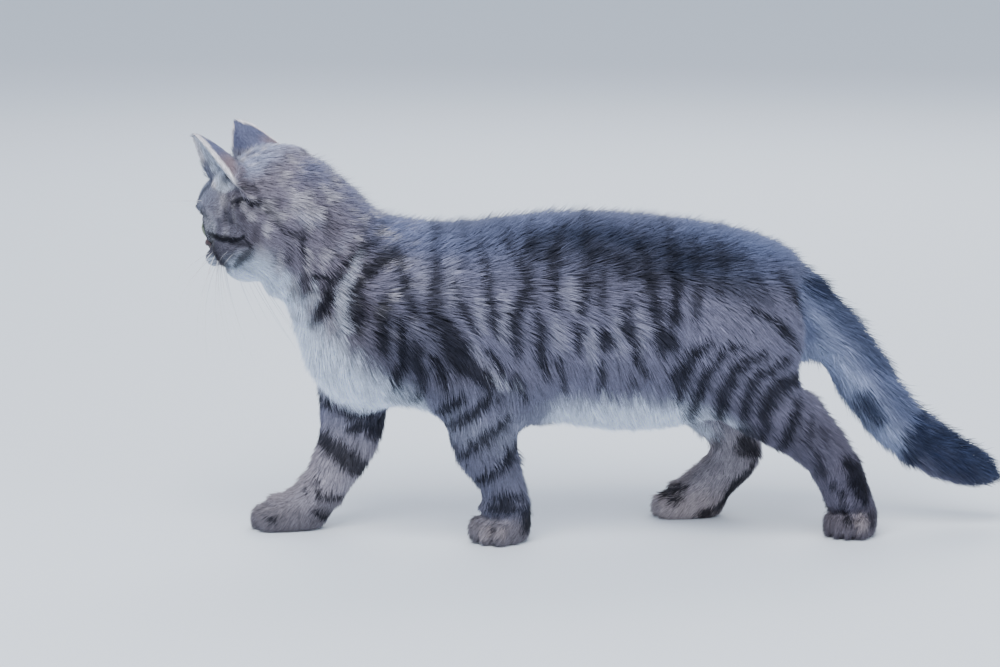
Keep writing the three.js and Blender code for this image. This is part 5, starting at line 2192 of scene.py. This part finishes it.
    def _piece(self, name: str, corners: Array, colours: Array, places: Array) -> Object:
        """Joins tufts into one mesh, with their colours and their places on the unwrap."""
        count, size = corners.shape[:2]
        faces = (self.faces[None] + np.arange(count)[:, None, None] * size).reshape(-1, 3)
        mesh = bpy.data.meshes.new(name)
        mesh.vertices.add(count * size)
        mesh.vertices.foreach_set("co", (corners * MM).ravel())
        mesh.loops.add(len(faces) * 3)
        mesh.loops.foreach_set("vertex_index", faces.ravel().astype(np.int32))
        mesh.polygons.add(len(faces))
        mesh.polygons.foreach_set("loop_start", np.arange(0, len(faces) * 3, 3, dtype=np.int32))
        mesh.polygons.foreach_set("use_smooth", np.ones(len(faces), bool))
        mesh.update(calc_edges=True)
        paint = mesh.color_attributes.new("Coat", "FLOAT_COLOR", "POINT")
        solid = np.concatenate([colours, np.ones((count, size, 1))], axis=2)
        paint.data.foreach_set("color", solid.ravel())
        patch = np.stack([self.template[:, 1], self.template[:, 0] - 0.5], 1) * self.PATCH
        flat = (places[:, None, :] + patch[None]).reshape(-1, 2)
        layer = mesh.uv_layers.new(name="OFBake")
        layer.data.foreach_set("uv", flat[faces.ravel()].ravel())
        return mesh_object(name, mesh)


# ---- Stage ----


class Stage:
    """Floor, light and the camera."""

    AZIMUTH = -6.0
    ELEVATION = 10.0
    DISTANCE = 1.8
    LENS = 135.0
    AIM_RIGHT = -0.048
    AIM_UP = 0.0943
    AIM_SHIFT = (-0.001978, 0.000023, 0)
    FLOOR = 6.0
    SKY = (0.80, 0.87, 1.0)
    SKY_STRENGTH = 0.95
    LAMP = (1.0, 0.985, 0.96)
    LAMPS = (
        ("key", (-0.5, -0.9, 1.5), 1.1, 34),
        ("fill", (1.0, -1.2, 0.8), 1.4, 7),
        ("rim", (0.3, 1.3, 1.1), 1.2, 14),
    )

    def build(self) -> None:
        """Makes the floor, the lights and the camera."""
        self._floor()
        self._lights()
        self._camera()

    def _floor(self) -> None:
        """A wide pale floor."""
        shape = bmesh.new()
        bmesh.ops.create_grid(shape, x_segments=1, y_segments=1, size=self.FLOOR)
        floor = linked("floor", new_mesh("floor", shape))
        floor.data.materials.append(Paint().material())

    def _lights(self) -> None:
        """A pale sky, a broad soft key from above and a weak fill."""
        world = bpy.data.worlds.new("pale sky")
        bpy.context.scene.world = world
        world.use_nodes = True
        background = world.node_tree.nodes["Background"]
        background.inputs["Color"].default_value = (*self.SKY, 1)
        background.inputs["Strength"].default_value = self.SKY_STRENGTH
        for lamp in self.LAMPS:
            self._area(*lamp)

    def _area(self, name: str, place: tuple, size: float, power: float) -> None:
        """One square light aimed at the cat."""
        lamp = bpy.data.lights.new(name, "AREA")
        lamp.size = size
        lamp.energy = power
        lamp.color = self.LAMP
        holder = linked(name, lamp)
        holder.location = place
        aim = Vector((0, 0, 0.1)) - Vector(place)
        holder.rotation_euler = aim.to_track_quat("-Z", "Y").to_euler()

    def _camera(self) -> None:
        """A long lens at the height of a person's knee."""
        turn, rise = math.radians(self.AZIMUTH), math.radians(self.ELEVATION)
        back = Vector((math.sin(turn) * math.cos(rise), -math.cos(turn) * math.cos(rise), math.sin(rise)))
        right = Vector((math.cos(turn), math.sin(turn), 0))
        aim = right * self.AIM_RIGHT + back.cross(right) * self.AIM_UP + Vector(self.AIM_SHIFT)
        lens = bpy.data.cameras.new("camera")
        lens.lens = self.LENS
        camera = linked("camera", lens)
        camera.location = aim + back * self.DISTANCE
        camera.rotation_euler = (-back).to_track_quat("-Z", "Y").to_euler()
        bpy.context.scene.camera = camera


def painted(skin: Object, groom: Groom, markings: Markings) -> None:
    """Gives the skin the coat's markings, a little darker, as the fur's ground."""
    colours = markings.paint(groom.net.points, groom.normals, groom.shares) * 0.6
    paint = skin.data.color_attributes.new("Coat", "FLOAT_COLOR", "POINT")
    paint.data.foreach_set("color", np.hstack([colours, np.ones((len(colours), 1))]).ravel())
    skin.data.materials.clear()
    skin.data.materials.append(Fur("skin", 0.7, 500.0, 0.4).material())


def main() -> None:
    """Builds the cat and its stage in order."""
    logging.basicConfig(level=logging.INFO, format="%(name)s: %(message)s")
    anatomy = Anatomy()
    head = Head()
    skin = Skin(anatomy, head).build()
    log.info("skin: %d faces", len(skin.data.polygons))
    markings = Markings(head)
    groom = Groom(skin, anatomy, head)
    painted(skin, groom, markings)
    for eye, name in zip(head.eyes, ("left", "right")):
        ball = EyeBall(eye).build(f"eyeball_{name}")
        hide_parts(f"eye_{name}")
        log.info("%s: %d faces", ball.name, len(ball.data.polygons))
    nose = Nose(head).build()
    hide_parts("nose")
    log.info("nose: %d faces", len(nose.data.polygons))
    whiskers = Whiskers(head).build()
    log.info("whiskers: %d faces", len(whiskers.data.polygons))
    Coat(skin, groom, markings).build()
    Stage().build()


if __name__ == "__main__":
    main()
